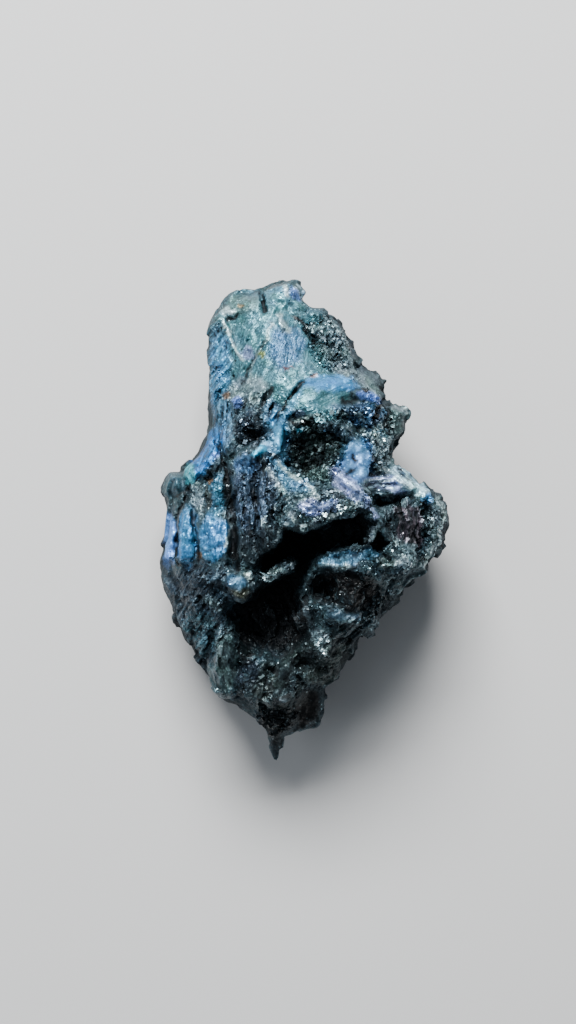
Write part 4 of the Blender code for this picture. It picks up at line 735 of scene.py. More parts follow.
# The back's fracture planes: a level at the middle of the plan, and the rise in X and Y
BACK_PLANES = [
    (0, (0, 0)), (-3.6, (0.42, 0.1)), (-3.9, (-0.46, -0.05)), (-4.6, (0.05, 0.3)), (-4.9, (-0.06, -0.33)),
    (-5.4, (0.38, -0.26)), (-5.6, (-0.33, 0.28)),
]

# Pits in the back, as nodules that lift it towards the face
BACK_PITS: list[Nodule] = [
    Nodule(2.5, 4, 3.4, 2.2, 30, 1.4), Nodule(-6.5, -7.5, 2.6, 3.4, 10, 1.6),
    Nodule(-3, 13, 3, 2.4, -20, 1.2), Nodule(7.5, -5, 2.4, 2, 0, 1.2), Nodule(0.5, -15, 2.6, 2.2, 40, 1),
]

# The tarnish in patches, painted one over the other in this order. The near-black and shade patches darken
# the ground under them; those marked below are painted shade
STAINS = forms(Stain, {
    "lower face": (-12.8, -11, 5, 8, -20, Hue.SLATE, 0.8),
    "flank top": (-13.2, -7.6, 3.2, 2.6, 0, Hue.DEEP_BLUE, 0.6),
    "flank low": (-12.2, -13.4, 2.6, 3.4, -20, Hue.TEAL_GREY, 0.35),
    "crown": (-4.6, 21.4, 7.6, 8.2, 0, Hue.TEAL_GREY, 1),
    "crown shoulder": (-0.8, 17.2, 4.4, 3.6, 0, Hue.TEAL_GREY, 0.8),
    "crown strip": (-10.2, 18.2, 1.9, 5.4, 0, Hue.SKY, 0.95),
    "crown strip top": (-10.1, 23.2, 1.1, 1.9, -10, Hue.GREEN_GREY, 0.5),
    "crown lilac": (-6.4, 19.8, 0.8, 0.7, 0, Hue.LILAC, 0.6),
    "crown lobe": (-7, 25.6, 2.4, 1.6, 0, Hue.GREEN_GREY, 0.7),
    "crown tip blue": (-2.4, 27.4, 1.8, 1, 0, Hue.BLUE_GREY, 0.5),
    "crown tip": (-0.5, 27, 1, 1, 0, Hue.VIOLET, 0.75),
    "crown centre": (-1.8, 20.4, 2.4, 2.9, 0, Hue.LILAC_GREY, 1),
    "crown green": (3.9, 20.4, 1.9, 4, 25, Hue.PALE, 0.8),
    "far rim": (8, 17, 3, 1.7, -42, Hue.PALE, 0.9),
    "neck": (-9.4, 11.6, 1.4, 4, 0, Hue.BLUE_GREY, 0.9),
    "neck middle": (-6.2, 15.2, 2.6, 2, 0, Hue.PALE, 0.85),
    "neck lines": (-6.8, 12.4, 1.8, 1.6, 0, Hue.SLATE, 0.8),
    "dome": (1.6, 14, 4.2, 2.2, 0, Hue.TEAL_GREY, 1),
    "dome band": (3.3, 16.1, 3.5, 1.2, 0, Hue.SKY_BLUE, 1),
    "dome end": (7.8, 14.6, 1.6, 0.6, -15, Hue.VIOLET, 0.9),
    "knob": (11.2, 12.2, 1.7, 2.4, 0, Hue.GREEN_GREY, 0.55),
    "knob cleft": (9.4, 10.2, 0.7, 0.8, 0, Hue.BLUE, 0.7),
    "tongue": (-11.3, 8.2, 1.5, 4.2, -30, Hue.AZURE, 1),
    "tongue bright": (-10.4, 8.2, 0.9, 2, -25, Hue.SKY_BLUE, 0.3),
    "tongue spot": (-10.1, 7.9, 0.5, 0.5, 0, Hue.VIOLET, 0.9),
    "teal lobe": (-13.2, 5.6, 0.8, 1.4, 10, Hue.TEAL, 1),
    "left knob": (-15.2, 4.4, 1.6, 2, 0, Hue.DARK_TEAL, 0.8),
    "panel top": (-10.2, 3, 1.4, 2.8, 0, Hue.BLUE_TEAL, 0.8),
    "panel pale": (-12.3, 2.8, 0.8, 2, 0, Hue.PALE, 0.5),
    "panel olive": (-11, 2.8, 0.5, 1.9, 0, Hue.OLIVE, 0.8),
    "panel": (-10.3, -1.8, 1.8, 2.9, 0, Hue.SKY_BLUE, 0.75),
    "panel deep": (-10.3, -1.8, 1.8, 2.9, 0, Hue.BLUE, 0.7),
    "panel strip": (-13.4, -1.8, 1.3, 3.8, 0, Hue.SKY_BLUE, 1),
    "outer strip": (-16, -2.2, 1.2, 3.4, 0, Hue.PERIWINKLE, 1),
    "columns": (-5.6, 3.2, 2.8, 5.2, 0, Hue.VIOLET_GREY, 0.9),
    "columns low": (-5.4, -3, 2.6, 2.6, 0, Hue.NEAR_BLACK, 0.6),
    "belt": (-3, 9.8, 1.7, 4.8, 8, Hue.BLUE_GREY, 1),
    "belt bright": (-2.7, 10.6, 1, 2.6, 12, Hue.SKY, 0.8),
    "belt foot": (-1.2, 4.4, 2.6, 1.1, -12, Hue.BLUE_GREY, 0.7),
    "ring arm": (-5, 8.3, 1, 0.55, 30, Hue.CYAN, 1),
    "ring foot": (-6.6, 6.6, 1.4, 1.2, 0, Hue.HAZE, 0.6),
    "bowl crystal": (-0.3, 10.3, 0.55, 0.5, 0, Hue.CYAN, 0.8),
    "side crystal": (9.4, 10.2, 0.8, 0.5, 20, Hue.CYAN, 1),
    "bowl brown": (3.4, 10.2, 1.6, 0.9, 0, Hue.VIOLET_GREY, 0.5),
    "notch": (-0.4, 12.2, 0.9, 0.6, -35, Hue.VIOLET_GREY, 0.9),
    "blue facet": (6.3, 7, 2.4, 2.9, -15, Hue.BLUE_GREY, 0.95),
    "blue facet pale": (6.3, 6.8, 2.2, 2.6, -15, Hue.PERIWINKLE, 0.35),
    "lilac ridge": (5.2, 4, 3.1, 1.2, -44, Hue.LILAC, 0.95),
    "arm top": (10.4, 4.4, 3.6, 1, -8, Hue.LILAC, 1),
    # The wedge face's ice-pale colour is partly a painted sheen
    "wedge face": (12.3, 5.2, 3, 1.5, -42, Hue.ICE, 1),
    "arm bead": (14.6, 2.7, 0.7, 0.5, -30, Hue.SKY_BLUE, 0.9),
    "arm shell": (11.6, -0.4, 2.4, 2.6, 0, Hue.NEAR_BLACK, 0.6),
    "arm edge": (15.8, -0.6, 1.4, 4.4, 0, Hue.PALE, 0.65),
    "arm foot": (11.4, -3.4, 1.6, 1.6, 0, Hue.PALE, 0.8),
    "lip": (3, 2.4, 3.6, 1.4, 8, Hue.PALE, 0.4),
    "lip spot": (1.3, 1.7, 1.7, 1, 0, Hue.LILAC, 0.75),
    "lip spot 2": (3.2, 1.9, 0.9, 0.7, 0, Hue.LILAC, 0.7),
    "gallery": (4.4, -4.3, 3, 0.9, 8, Hue.BLUE_GREY, 0.85),
    "gallery right": (7.6, -3.6, 1.2, 0.8, 0, Hue.BLUE_GREY, 0.7),
    "stub": (-7.6, -7, 1.3, 1, 0, Hue.LILAC_GREY, 1),
    "stub shade": (-7.6, -7, 1.3, 1, 0, Hue.SLATE, 0.35),
    "granular ridge": (-3, -5.6, 2.4, 0.9, 28, Hue.PALE, 0.6),
    "step": (4.8, -10.9, 2.2, 0.9, 0, Hue.SLATE, 1),
    "lower wall": (2.6, -16.2, 4.2, 3.6, 0, Hue.IRON, 0.85),
    "crag": (2.2, -14, 1, 2.2, 0, Hue.PALE, 0.5),
    "blade": (-8.9, -16.4, 1.3, 4, 0, Hue.GREEN_GREY, 1),
    "blade light": (-8.9, -16.4, 0.9, 3.4, 0, Hue.PALE, 0.35),
    "keel": (-4.4, -18.6, 1.7, 2.8, -20, Hue.IRON, 1),
    # Painted shade down in the heel's hollow
    "heel": (0.8, -22.2, 1.9, 2.6, 0, Hue.SHADE, 1),
    "broken zone": (7.6, 12.3, 2.6, 1.6, -10, Hue.HAZE, 0.45),
    "broken band": (5.4, 13.2, 2.6, 0.8, 0, Hue.VIOLET_GREY, 0.7),
    "brow": (2.6, 12, 2.2, 0.7, 0, Hue.TEAL_GREY, 0.6),
    "side": (9.4, 8.8, 1.7, 3.6, 0, Hue.PALE, 0.8),
    "side dark": (8.3, 6.8, 0.6, 1.4, 10, Hue.DEEP_BLUE, 0.5),
    "bowl olive": (1.9, 5.6, 1.4, 0.8, 10, Hue.GREEN_GREY, 0.8),
    "bowl": (1, 8.2, 3.4, 3.2, 0, Hue.DEEP_GREEN, 0.9),
    # Painted shade in the cleft
    "cleft": (-5.8, 10.4, 2.6, 1.9, 0, Hue.DEEP_BLUE, 0.8),
    # Painted shade over the belly, the nodules and the lower right, which lie in shade
    "belly": (-3.2, -11.2, 5, 4.6, 0, Hue.NEAR_BLACK, 1),
    "nodules": (5, -7.8, 5, 2.4, -10, Hue.NEAR_BLACK, 1),
    "lower right": (7.4, -11.6, 3.8, 3, 40, Hue.NEAR_BLACK, 0.15),
    "keel dark": (-1.9, -17.4, 1.1, 3.4, -20, Hue.IRON, 0.8),
    # Painted shade over the tip, which faces away from the light
    "tip": (-2.6, -25, 3.6, 4.4, 0, Hue.NEAR_BLACK, 0.85),
    "wedge": (-6.4, -18.2, 1.3, 2.4, -10, Hue.DEEP_BLUE, 0.9),
    "wedge green": (-3.2, -20.2, 4.4, 2.4, 0, Hue.IRON, 0.5),
    "blade side": (-6.8, -14.6, 1.1, 2.6, 0, Hue.NEAR_BLACK, 0.8),
    "heel top": (2.4, -18, 2.4, 1.2, 0, Hue.IRON, 0.6),
    "blue fleck": (-7.5, 14.1, 0.8, 0.8, 0, Hue.VIOLET, 0.95),
    "stain 1": (-8.9, 15, 0.5, 0.5, 0, Hue.OCHRE, 0.6),
    "stain 2": (-7.2, 25.5, 0.5, 0.35, 0, Hue.OCHRE, 0.5),
    "stain 3": (-4.6, 19.5, 0.4, 0.6, 0, Hue.GREEN_YELLOW, 0.8),
    "stain 4": (-1.7, 18, 0.9, 0.2, -15, Hue.RUST, 0.8),
    "stain 5": (1.4, 16.8, 0.6, 0.25, 0, Hue.OCHRE, 0.6),
    "stain 6": (-10.8, 4.9, 0.4, 0.3, 0, Hue.OCHRE, 0.6),
    "stain 7": (-12, -3.9, 0.35, 0.35, 0, Hue.OCHRE, 0.8),
})

# Thin lines over the patches: frost and painted highlights along crests and rims, painted shade in cracks,
# slots and pits, and the edges between colours
STREAKS = forms(Streak, {
    "crown ridge": (Hue.FROST, [
        (-9.2, 23.5), (-8.6, 22.3), (-8.2, 21), (-7.6, 19.9), (-7.1, 19.2)], 0.2, 0.9),
    "lobe cluster": (Hue.FROST, [(-9.3, 25.3), (-8.9, 24.7), (-8.2, 24.5)], 0.42, 0.8),
    "lobe edge": (Hue.SHADE, [(-8.9, 24), (-8.2, 23.9), (-7.6, 24.1)], 0.16, 0.9),
    "crown slit": (Hue.SHADE, [(-4.8, 26.8), (-4.6, 26), (-4.4, 24.7)], 0.2, 0.95),
    "crown flake": (Hue.FROST, [(-2.8, 24.2), (-2.3, 23.3), (-1.9, 22.5)], 0.32, 0.6),
    "crown crack": (Hue.SHADE, [(-5.6, 19.3), (-6.4, 17.7), (-6.9, 16.2)], 0.18, 0.9),
    "crown crack rim": (Hue.FROST, [(-3.4, 23), (-4.9, 20.3), (-5.8, 18.3), (-6.4, 16.4)], 0.14, 0.5),
    "tip frost": (Hue.FROST, [(-2.3, 27.9), (-1.8, 27.4), (-1.9, 26.9)], 0.28, 0.8),
    "tip edge": (Hue.FROST, [(-0.8, 28), (0.1, 27.5), (0, 26.8)], 0.22, 0.6),
    "patch edge": (Hue.SHADE, [(-0.8, 24.1), (0.2, 23.2), (0.9, 21.9), (1.3, 21)], 0.34, 1),
    "patch crystals": (Hue.FROST, [(0.9, 22.9), (1.8, 22.4), (2.3, 21.6)], 0.3, 0.6),
    "dome groove": (Hue.SHADE, [
        (0.1, 16.1), (-0.4, 15.8), (-0.95, 14.9), (-1.75, 13.8), (-3.1, 11.4)], 0.2, 1),
    "dome rim": (Hue.SKY, [(0.1, 15.5), (-0.6, 14.3), (-1.5, 12.9), (-2.1, 11.6)], 0.34, 0.5),
    # Painted shadow beside the splinters
    "splinter": (Hue.NEAR_BLACK, [(-3.6, 15.3), (-4, 14.6), (-4.5, 13.6), (-4.9, 12.8)], 0.3, 0.9),
    "splinter 2": (Hue.DEEP_BLUE, [(-3.1, 13.8), (-3.5, 13.2), (-4, 12.4)], 0.3, 0.9),
    "dome pit": (Hue.SHADE, [(6.9, 15.6), (7.2, 15.3), (7.6, 15.1)], 0.28, 1),
    "dome pit 2": (Hue.SHADE, [(5.4, 14.9), (5.6, 14.7)], 0.18, 0.9),
    "dome pit 3": (Hue.SHADE, [(4.5, 14.1), (5, 13.8), (5.8, 14)], 0.2, 0.9),
    "broken pit": (Hue.SHADE, [(8.7, 13.4), (8.5, 12.6), (8.3, 11.8)], 0.42, 1),
    "bowl slot": (Hue.SHADE, [(-0.8, 11.2), (0.1, 11.3), (1, 11.3)], 0.3, 1),
    "knob top": (Hue.FROST, [(10.6, 13.6), (11.4, 13.5), (12.2, 13)], 0.4, 0.6),
    "knob cleft": (Hue.SHADE, [(9.8, 13), (9.9, 11.8), (10, 10.4)], 0.28, 0.9),
    "facet pit": (Hue.SHADE, [(5.6, 7.5), (6, 6.8)], 0.22, 1),
    "facet pit 2": (Hue.SHADE, [(5.1, 5.6), (5.5, 5.8), (5.9, 5.8)], 0.28, 1),
    "facet pit 3": (Hue.SHADE, [(7.8, 5.7), (8.2, 5.5)], 0.3, 1),
    "facet pit 4": (Hue.SHADE, [(7.9, 7.3), (8.1, 7)], 0.22, 0.9),
    "belt crest": (Hue.FROST, [(-4.6, 7.1), (-4, 5.9), (-3.4, 4.8), (-2.4, 3.7), (-1.6, 2.8)], 0.2, 0.75),
    "bowl rim": (Hue.FROST, [(-3.3, 7.6), (-1.4, 5.4), (0.8, 4.2), (1.7, 2.8)], 0.2, 0.7),
    "tongue line": (Hue.SHADE, [(-10.1, 9.5), (-9.5, 7.9), (-9.2, 6.9), (-8.9, 5.6)], 0.16, 0.95),
    "tongue foot": (Hue.SHADE, [(-10.9, 5.6), (-10.1, 6.1), (-9.3, 6.6)], 0.2, 0.8),
    "knob slit": (Hue.SHADE, [(-13.1, 4.3), (-13.8, 3.4), (-14.6, 2.7)], 0.26, 0.9),
    "channel": (Hue.SHADE, [
        (-13.5, 3), (-14.5, 0.9), (-14.8, -1.2), (-14.7, -3), (-14.6, -4.8)], 0.22, 0.85),
    "channel 2": (Hue.SHADE, [(-12.9, 1), (-12.7, -0.2), (-12.3, -1.2), (-12.1, -4.6)], 0.2, 0.85),
    "panel edge": (Hue.FROST, [(-8.7, 0.4), (-8.5, -0.8), (-8.6, -2.6)], 0.13, 0.6),
    "panel crack": (Hue.SHADE, [(-11.5, -3.3), (-10.2, -3.1), (-8.8, -2.7)], 0.12, 0.7),
    "panel slot": (Hue.SHADE, [(-8.6, 5.6), (-8.4, 3.4), (-8.2, 1.4)], 0.5, 0.95),
    "panel slot foot": (Hue.SHADE, [(-8, 0.4), (-7.8, -2.2), (-7.6, -5.2)], 0.42, 0.95),
    "column slot": (Hue.SHADE, [(-5.5, 3.9), (-5.5, 3), (-5.4, 2.2)], 0.34, 0.95),
    "torso frost": (Hue.FROST, [(-4.6, 0), (-3.9, 1), (-3.3, 1.9)], 0.14, 0.7),
    "torso frost 2": (Hue.FROST, [(-3.2, -2.4), (-2.6, -1.2), (-1.9, -0.2)], 0.14, 0.6),
    "drip": (Hue.FROST, [(-4.3, -0.3), (-4, -1.2)], 0.34, 0.6),
    "drip 2": (Hue.FROST, [(-1.6, 0.9), (-1, 0.5)], 0.3, 0.5),
    "lip rim": (Hue.FROST, [(0.1, -0.4), (1.4, 0.3), (3.4, 0.8), (5, 1.4), (6.6, 2)], 0.22, 0.75),
    "lip left rim": (Hue.FROST, [(-1.4, 0.6), (-0.7, 0), (0, -1.1)], 0.16, 0.5),
    "fold 1": (Hue.FROST, [(7.2, 4.7), (8.4, 4.9), (9.6, 4.8), (11.4, 4.7), (13, 3.8)], 0.18, 0.7),
    "fold 2": (Hue.ICE, [(7.4, 4.1), (8.5, 4.25), (9.7, 4.1), (10.6, 3.8)], 0.14, 0.6),
    "fold shade": (Hue.SHADE, [(7.2, 4.3), (8.4, 4.5), (9.6, 4.4), (11, 4.2)], 0.12, 0.7),
    "fold shade 2": (Hue.SHADE, [(7.5, 3.8), (8.6, 4), (10.2, 3.7)], 0.12, 0.7),
    "wedge line": (Hue.SHADE, [(11, 5.8), (12, 5.1), (13.3, 4.1)], 0.1, 0.7),
    "wedge dots": (Hue.SHADE, [(11.2, 6.1), (11.6, 6)], 0.16, 1),
    "strut": (Hue.LILAC, [(7, 3.4), (7.6, 2.2), (8.5, 0.7)], 0.22, 0.9),
    "slab line": (Hue.SHADE, [(3.9, 5.4), (4.8, 4.5), (5.7, 3.4)], 0.11, 0.7),
    "slab line 2": (Hue.SHADE, [(4.9, 5.2), (5.8, 4.3), (6.7, 3.2)], 0.11, 0.6),
    "slab line 3": (Hue.SHADE, [(3.4, 4.9), (4.3, 3.9), (5, 3)], 0.11, 0.6),
    "pillar frost": (Hue.FROST, [(8.3, -0.5), (7.9, -1.2), (7.7, -2)], 0.34, 0.7),
    "lilac run": (Hue.LILAC, [(3.7, 5.5), (4.6, 4.4), (5.5, 3.1)], 0.42, 0.9),
    "gallery rim": (Hue.FROST, [(1.6, -4.8), (3.2, -5), (4.9, -5.2), (6.4, -4.9)], 0.16, 0.5),
    "foot frost": (Hue.FROST, [(9.2, -4.7), (10.4, -4.7), (11.6, -4.4), (12.6, -4.8)], 0.5, 0.45),
    "foot edge": (Hue.FROST, [(9, -4.4), (10.4, -3.3), (11.9, -2.1)], 0.16, 0.6),
    "shell line": (Hue.MAUVE, [(11, 1.3), (11.3, 0.2), (11.1, -1), (11.4, -2)], 0.22, 1),
    "shell line 2": (Hue.MAUVE, [(11.8, 1.6), (12, 0.4), (11.8, -0.8), (12.1, -2.2)], 0.22, 1),
    "shell line 3": (Hue.MAUVE, [(12.5, 1.8), (12.8, 0.4), (12.6, -1), (12.9, -2.4)], 0.22, 1),
    "shell line 4": (Hue.MAUVE, [(13.4, 1.6), (13.6, 0.2), (13.4, -1.4), (13.6, -2.8)], 0.22, 0.9),
    "shell shade": (Hue.SHADE, [(11.4, 1.4), (11.7, 0.2), (11.4, -1), (11.8, -2.2)], 0.18, 1),
    "shell shade 2": (Hue.SHADE, [(12.2, 1.6), (12.4, 0.4), (12.2, -0.8), (12.5, -2.2)], 0.18, 1),
    "shell shade 3": (Hue.SHADE, [(13, 1.6), (13.2, 0.4), (13, -1), (13.2, -2.4)], 0.18, 1),
    "shell cap": (Hue.PALE, [(9.2, 1.6), (10.8, 1.8), (12.4, 2.6)], 0.24, 0.6),
    "arm rim": (Hue.FROST, [
        (15.4, 3.3), (16.6, 2.2), (16.6, 0.2), (16, -2), (14.8, -3.6), (14, -5.2)], 0.3, 0.55),
    "ridge frost": (Hue.FROST, [(-3.8, -6), (-3, -5.5), (-1.8, -5.3), (-0.7, -4.4)], 0.22, 0.55),
    "stub side": (Hue.FROST, [(-6.3, -6), (-5.8, -6.8)], 0.26, 0.7),
    "stub front": (Hue.OLIVE, [(-8, -8), (-7.1, -8.4), (-6.4, -8)], 0.5, 0.8),
    "flank cluster": (Hue.PALE, [(-10.8, -9), (-10.2, -9.5), (-9.7, -9.9)], 0.55, 0.6),
    "blade edge": (Hue.PALE, [(-9.5, -12.3), (-9.8, -14.6), (-10.1, -16.4), (-10.6, -17.8)], 0.11, 0.6),
    "crag frost": (Hue.FROST, [(1.8, -13.6), (2.2, -14.7), (2.6, -15.8)], 0.14, 0.9),
    "crag frost 2": (Hue.FROST, [(2, -14.6), (2.8, -14.2), (3.2, -14.8)], 0.1, 0.7),
    "keel glint": (Hue.FROST, [(-2.4, -20.7), (-2.1, -21)], 0.3, 0.8),
    "keel streak": (Hue.PALE, [(-4.6, -17), (-4.9, -18.2), (-5.4, -19.4)], 0.12, 0.6),
    "keel streak 2": (Hue.PALE, [(-3.4, -16.6), (-3.9, -18.4), (-4.7, -20.4)], 0.1, 0.6),
    "keel streak 3": (Hue.PALE, [(-2.8, -19.4), (-3.4, -20.4), (-4, -21)], 0.1, 0.5),
    "edge glints": (Hue.PALE, [(13.2, -6.3), (11.3, -8.8), (9.6, -11), (8.2, -12.8)], 0.34, 0.5),
    "step edge": (Hue.PALE, [(3.2, -11.5), (4.8, -11.5), (6.2, -11.4)], 0.12, 0.6),
    "wall streak": (Hue.PALE, [(0.4, -10), (0.9, -11.6), (1.2, -13)], 0.14, 0.5),
    "brow frost": (Hue.FROST, [(-0.6, 11.6), (1, 12), (2.6, 11.9)], 0.16, 0.6),
    "brow frost 2": (Hue.FROST, [(3.4, 12.4), (4.8, 12.6), (5.8, 12.2)], 0.16, 0.5),
    "broken frost": (Hue.FROST, [(6.4, 12.6), (7.2, 11.6), (7, 10.6)], 0.18, 0.6),
    "broken frost 2": (Hue.FROST, [(8.4, 10.6), (9, 9.4), (8.8, 8.2)], 0.22, 0.6),
    "bowl ledge": (Hue.GREEN_GREY, [(0.8, 5.5), (1.8, 5.4), (2.6, 5.8)], 0.44, 0.6),
})


def ease(low: float, high: float, value: Array) -> Array:
    """Rises smoothly from 0 at low to 1 at high.

    Args:
        low: The value up to which the result is 0.
        high: The value from which the result is 1.
        value: The values to ease.

    Returns:
        The eased shares.
    """
    share = np.clip((value - low) / (high - low), 0.0, 1.0)
    return share * share * (3.0 - 2.0 * share)


def distance_to_line(x: Array, y: Array, line: Line) -> tuple[Array, Array]:
    """Measures from points of the plan to a line of straight runs.

    Args:
        x: The points' X.
        y: The points' Y.
        line: The line's points.

    Returns:
        The distance of each point, and how far along the line it lies, 0 to 1.
    """
    nearest = np.full(x.shape, np.inf)
    along = np.zeros(x.shape)
    runs = len(line) - 1
    for index in range(runs):
        (x0, y0), (x1, y1) = line[index], line[index + 1]
        dx, dy = x1 - x0, y1 - y0
        share = np.clip(((x - x0) * dx + (y - y0) * dy) / (dx * dx + dy * dy), 0.0, 1.0)
        distance = np.hypot(x - x0 - share * dx, y - y0 - share * dy)
        closer = distance < nearest
        nearest = np.where(closer, distance, nearest)
        along = np.where(closer, (index + share) / runs, along)
    return nearest, along


def depth_inside(x: Array, y: Array, corners: Line) -> Array:
    """Measures how far points of the plan lie inside a closed outline.

    Args:
        x: The points' X.
        y: The points' Y.
        corners: The outline's corners.

    Returns:
        The distance to the outline, positive inside it and negative outside.
    """
    closed = list(corners) + [corners[0]]
    distance, _ = distance_to_line(x, y, closed)
    inside = np.zeros(x.shape, bool)
    for (x0, y0), (x1, y1) in zip(closed, closed[1:]):
        if y0 == y1:
            continue
        crosses = (y0 > y) != (y1 > y)
        inside ^= crosses & (x < (x1 - x0) * (y - y0) / (y1 - y0) + x0)
    return np.where(inside, distance, -distance)


def edge_height(x: Array, y: Array) -> Array:
    """Gives the level that the lump's edge has at places of the plan."""
    return EDGE_LEVEL + EDGE_RISE[0] * x + EDGE_RISE[1] * y


def steepness(normals: Array) -> Array:
    """Gives how steep a surface with these normals is, from 0 where it is flat to 1."""
    return 1.0 - ease(0.2, 0.6, np.abs(normals[:, 2]))


def wander(x: Array, y: Array, layers: Iterable[tuple[float, float]] = WANDER) -> tuple[Array, Array]:
    """Bends the plan a little at every place, so that no edge or line runs straight.

    Args:
        x: The points' X.
        y: The points' Y.
        layers: The size and the reach of each layer of bending.

    Returns:
        The bent X and Y.
    """
    bent_x, bent_y = x.copy(), y.copy()
    for size, reach in layers:
        for index in range(len(x)):
            bend = noise.noise_vector(Vector((x[index] / size, y[index] / size, size)))
            bent_x[index] += reach * bend.x
            bent_y[index] += reach * bend.y
    return bent_x, bent_y


def zone_strength(x: Array, y: Array, zones: Iterable[Zone]) -> Array:
    """Works out how strongly each place of the plan belongs to some zones.

    Args:
        x: The places' X.
        y: The places' Y.
        zones: The zones.

    Returns:
        The greatest strength at each place, 0 to 1.
    """
    strength = np.zeros(x.shape)
    for zone in zones:
        strength = np.maximum(strength, zone.most * ease(0.0, 0.35, 1.0 - zone.reach(x, y)))
    return strength


def block_lifts(points: Array, blocks: Blocks, where: Array | None = None) -> Array:
    """Breaks a surface into blocks, each with a tilt and a step of its own.

    Args:
        points: The surface's points.
        blocks: How it breaks.
        where: How strongly each point takes part; where it is 0 the lift isn't worked out.

    Returns:
        The lift of each point, times where.
    """
    lifts = np.zeros(len(points))
    chosen = range(len(points)) if where is None else np.flatnonzero(where > 0.01)
    places = points / (blocks.size, blocks.size * blocks.stretch, blocks.size)
    for index in chosen:
        place = Vector(places[index])
        middle = noise.voronoi(place)[1][0]
        own = noise.noise_vector(middle * 5.37)
        tilt = blocks.slope * blocks.size * own.dot(place - middle)
        lifts[index] = 2.0 * (tilt + blocks.step * noise.noise(middle * 9.73))
    return lifts if where is None else lifts * where


def draws(cells: Array, salt: int) -> Array:
    """Draws a steady number from 0 to 1 for each cell of a whole-numbered lattice.

    Args:
        cells: The cells' whole coordinates, in the last axis.
        salt: A number that makes one set of draws differ from another.

    Returns:
        A number for each cell.
    """
    mixed = (cells[..., 0] * 73856093) ^ (cells[..., 1] * 19349663) ^ (cells[..., 2] * 83492791)
    mixed = (mixed ^ (salt * 40503)) & 0x7FFFFFFF
    for factor in (0x45D9F3B, 0x119DE1F3):
        mixed = (((mixed >> 15) ^ mixed) * factor) & 0x7FFFFFFF
    return (((mixed >> 13) ^ mixed) & 0xFFFFFF) / 0xFFFFFF


def nearest_cells(places: Array, salt: int) -> tuple[Array, Array]:
    """Finds the cell of a shaken-up lattice that each place belongs to.

    Args:
        places: The places, in steps of the lattice.
        salt: A number that makes one lattice differ from another.

    Returns:
        The whole coordinates of each place's cell, and the place measured from the cell's middle.
    """
    home = np.floor(places).astype(np.int64)
    nearest = np.full(len(places), np.inf)
    offset, cells = np.zeros_like(places), np.zeros_like(home)
    for step in np.ndindex(3, 3, 3):
        other = home + np.array(step) - 1
        middle = other + np.stack([draws(other, salt + axis) for axis in range(3)], axis=-1)
        away = places - middle
        reach = np.einsum("ij,ij->i", away, away)
        closer = reach < nearest
        nearest[closer], offset[closer], cells[closer] = reach[closer], away[closer], other[closer]
    return cells, offset


def planed(points: Array, normals: Array, cells: Array, reach: float) -> Array:
    """Works out the shift that lays each point on the mean plane of its cell.

    Args:
        points: The points.
        normals: The surface's normals there.
        cells: The whole coordinates of each point's cell.
        reach: The longest shift.

    Returns:
        The shift of each point.
    """
    _, owner = np.unique(cells, axis=0, return_inverse=True)
    owner = owner.ravel()
    count = np.bincount(owner)[:, None]
    middle = np.stack([np.bincount(owner, axis) for axis in points.T], axis=-1) / count
    facing = np.stack([np.bincount(owner, axis) for axis in normals.T], axis=-1)
    facing /= np.maximum(np.linalg.norm(facing, axis=1), 1e-6)[:, None]
    away = np.einsum("ij,ij->i", points - middle[owner], facing[owner])
    return -np.clip(away, -reach, reach)[:, None] * facing[owner]


def broken(places: Array, points: Array, normals: Array, blocks: Blocks, salt: int) -> Array:
    """Breaks a surface into flat facets, each with a tilt and a step of its own.

    Args:
        places: The coordinates of each point that the facets are laid out in.
        points: The points.
        normals: The surface's normals there.
        blocks: How it breaks.
        salt: A number that makes one layer of facets differ from another.

    Returns:
        The shift of each point.
    """
    cells, offset = nearest_cells(places / (blocks.size, blocks.size * blocks.stretch, blocks.size), salt)
    tilt = np.stack([draws(cells, salt + 3 + axis) for axis in range(3)], axis=-1) - 0.5
    lift = blocks.slope * blocks.size * np.einsum("ij,ij->i", tilt * 2.0, offset)
    lift += blocks.step * (draws(cells, salt + 6) * 2.0 - 1.0)
    shift = normals * lift[:, None]
    if blocks.flat:
        shift += blocks.flat * planed(points, normals, cells, blocks.size)
    return shift


def striae_of(x: Array, y: Array) -> Array:
    """Gives each place's distance across and along the striae of its zone, and their strength.

    Args:
        x: The places' X.
        y: The places' Y.

    Returns:
        An array with a row for each place.
    """
    rows = np.column_stack([x, y, np.zeros(len(x))])
    for zone in STRIATED.values():
        strength = zone.most * ease(0.0, 0.4, 1.0 - zone.reach(x, y))
        way = math.radians(zone.way)
        across = x * math.sin(way) - y * math.cos(way)
        along = x * math.cos(way) + y * math.sin(way)
        stronger = strength > rows[:, 2]
        rows[stronger] = np.column_stack([across, along, strength])[stronger]
    return rows


def points_of(mesh: bpy.types.Mesh, what: str = "co") -> Array:
    """Reads a mesh's vertices.

    Args:
        mesh: The mesh.
        what: Which of their vectors to read, co or normal.

    Returns:
        An array with a row for each vertex.
    """
    flat = np.empty(len(mesh.vertices) * 3)
    mesh.vertices.foreach_get(what, flat)
    return flat.reshape(-1, 3)


def corners_of(mesh: bpy.types.Mesh) -> Array:
    """Reads the three vertices of each of a mesh's triangles.

    Args:
        mesh: The mesh, all in triangles.

    Returns:
        An array with a row for each triangle.
    """
    corners = np.empty(len(mesh.polygons) * 3, int)
    mesh.polygons.foreach_get("vertices", corners)
    return corners.reshape(-1, 3)


def move_points(mesh: bpy.types.Mesh, points: Array) -> None:
    """Puts a mesh's vertices at new places."""
    mesh.vertices.foreach_set("co", points.ravel())
    mesh.update()


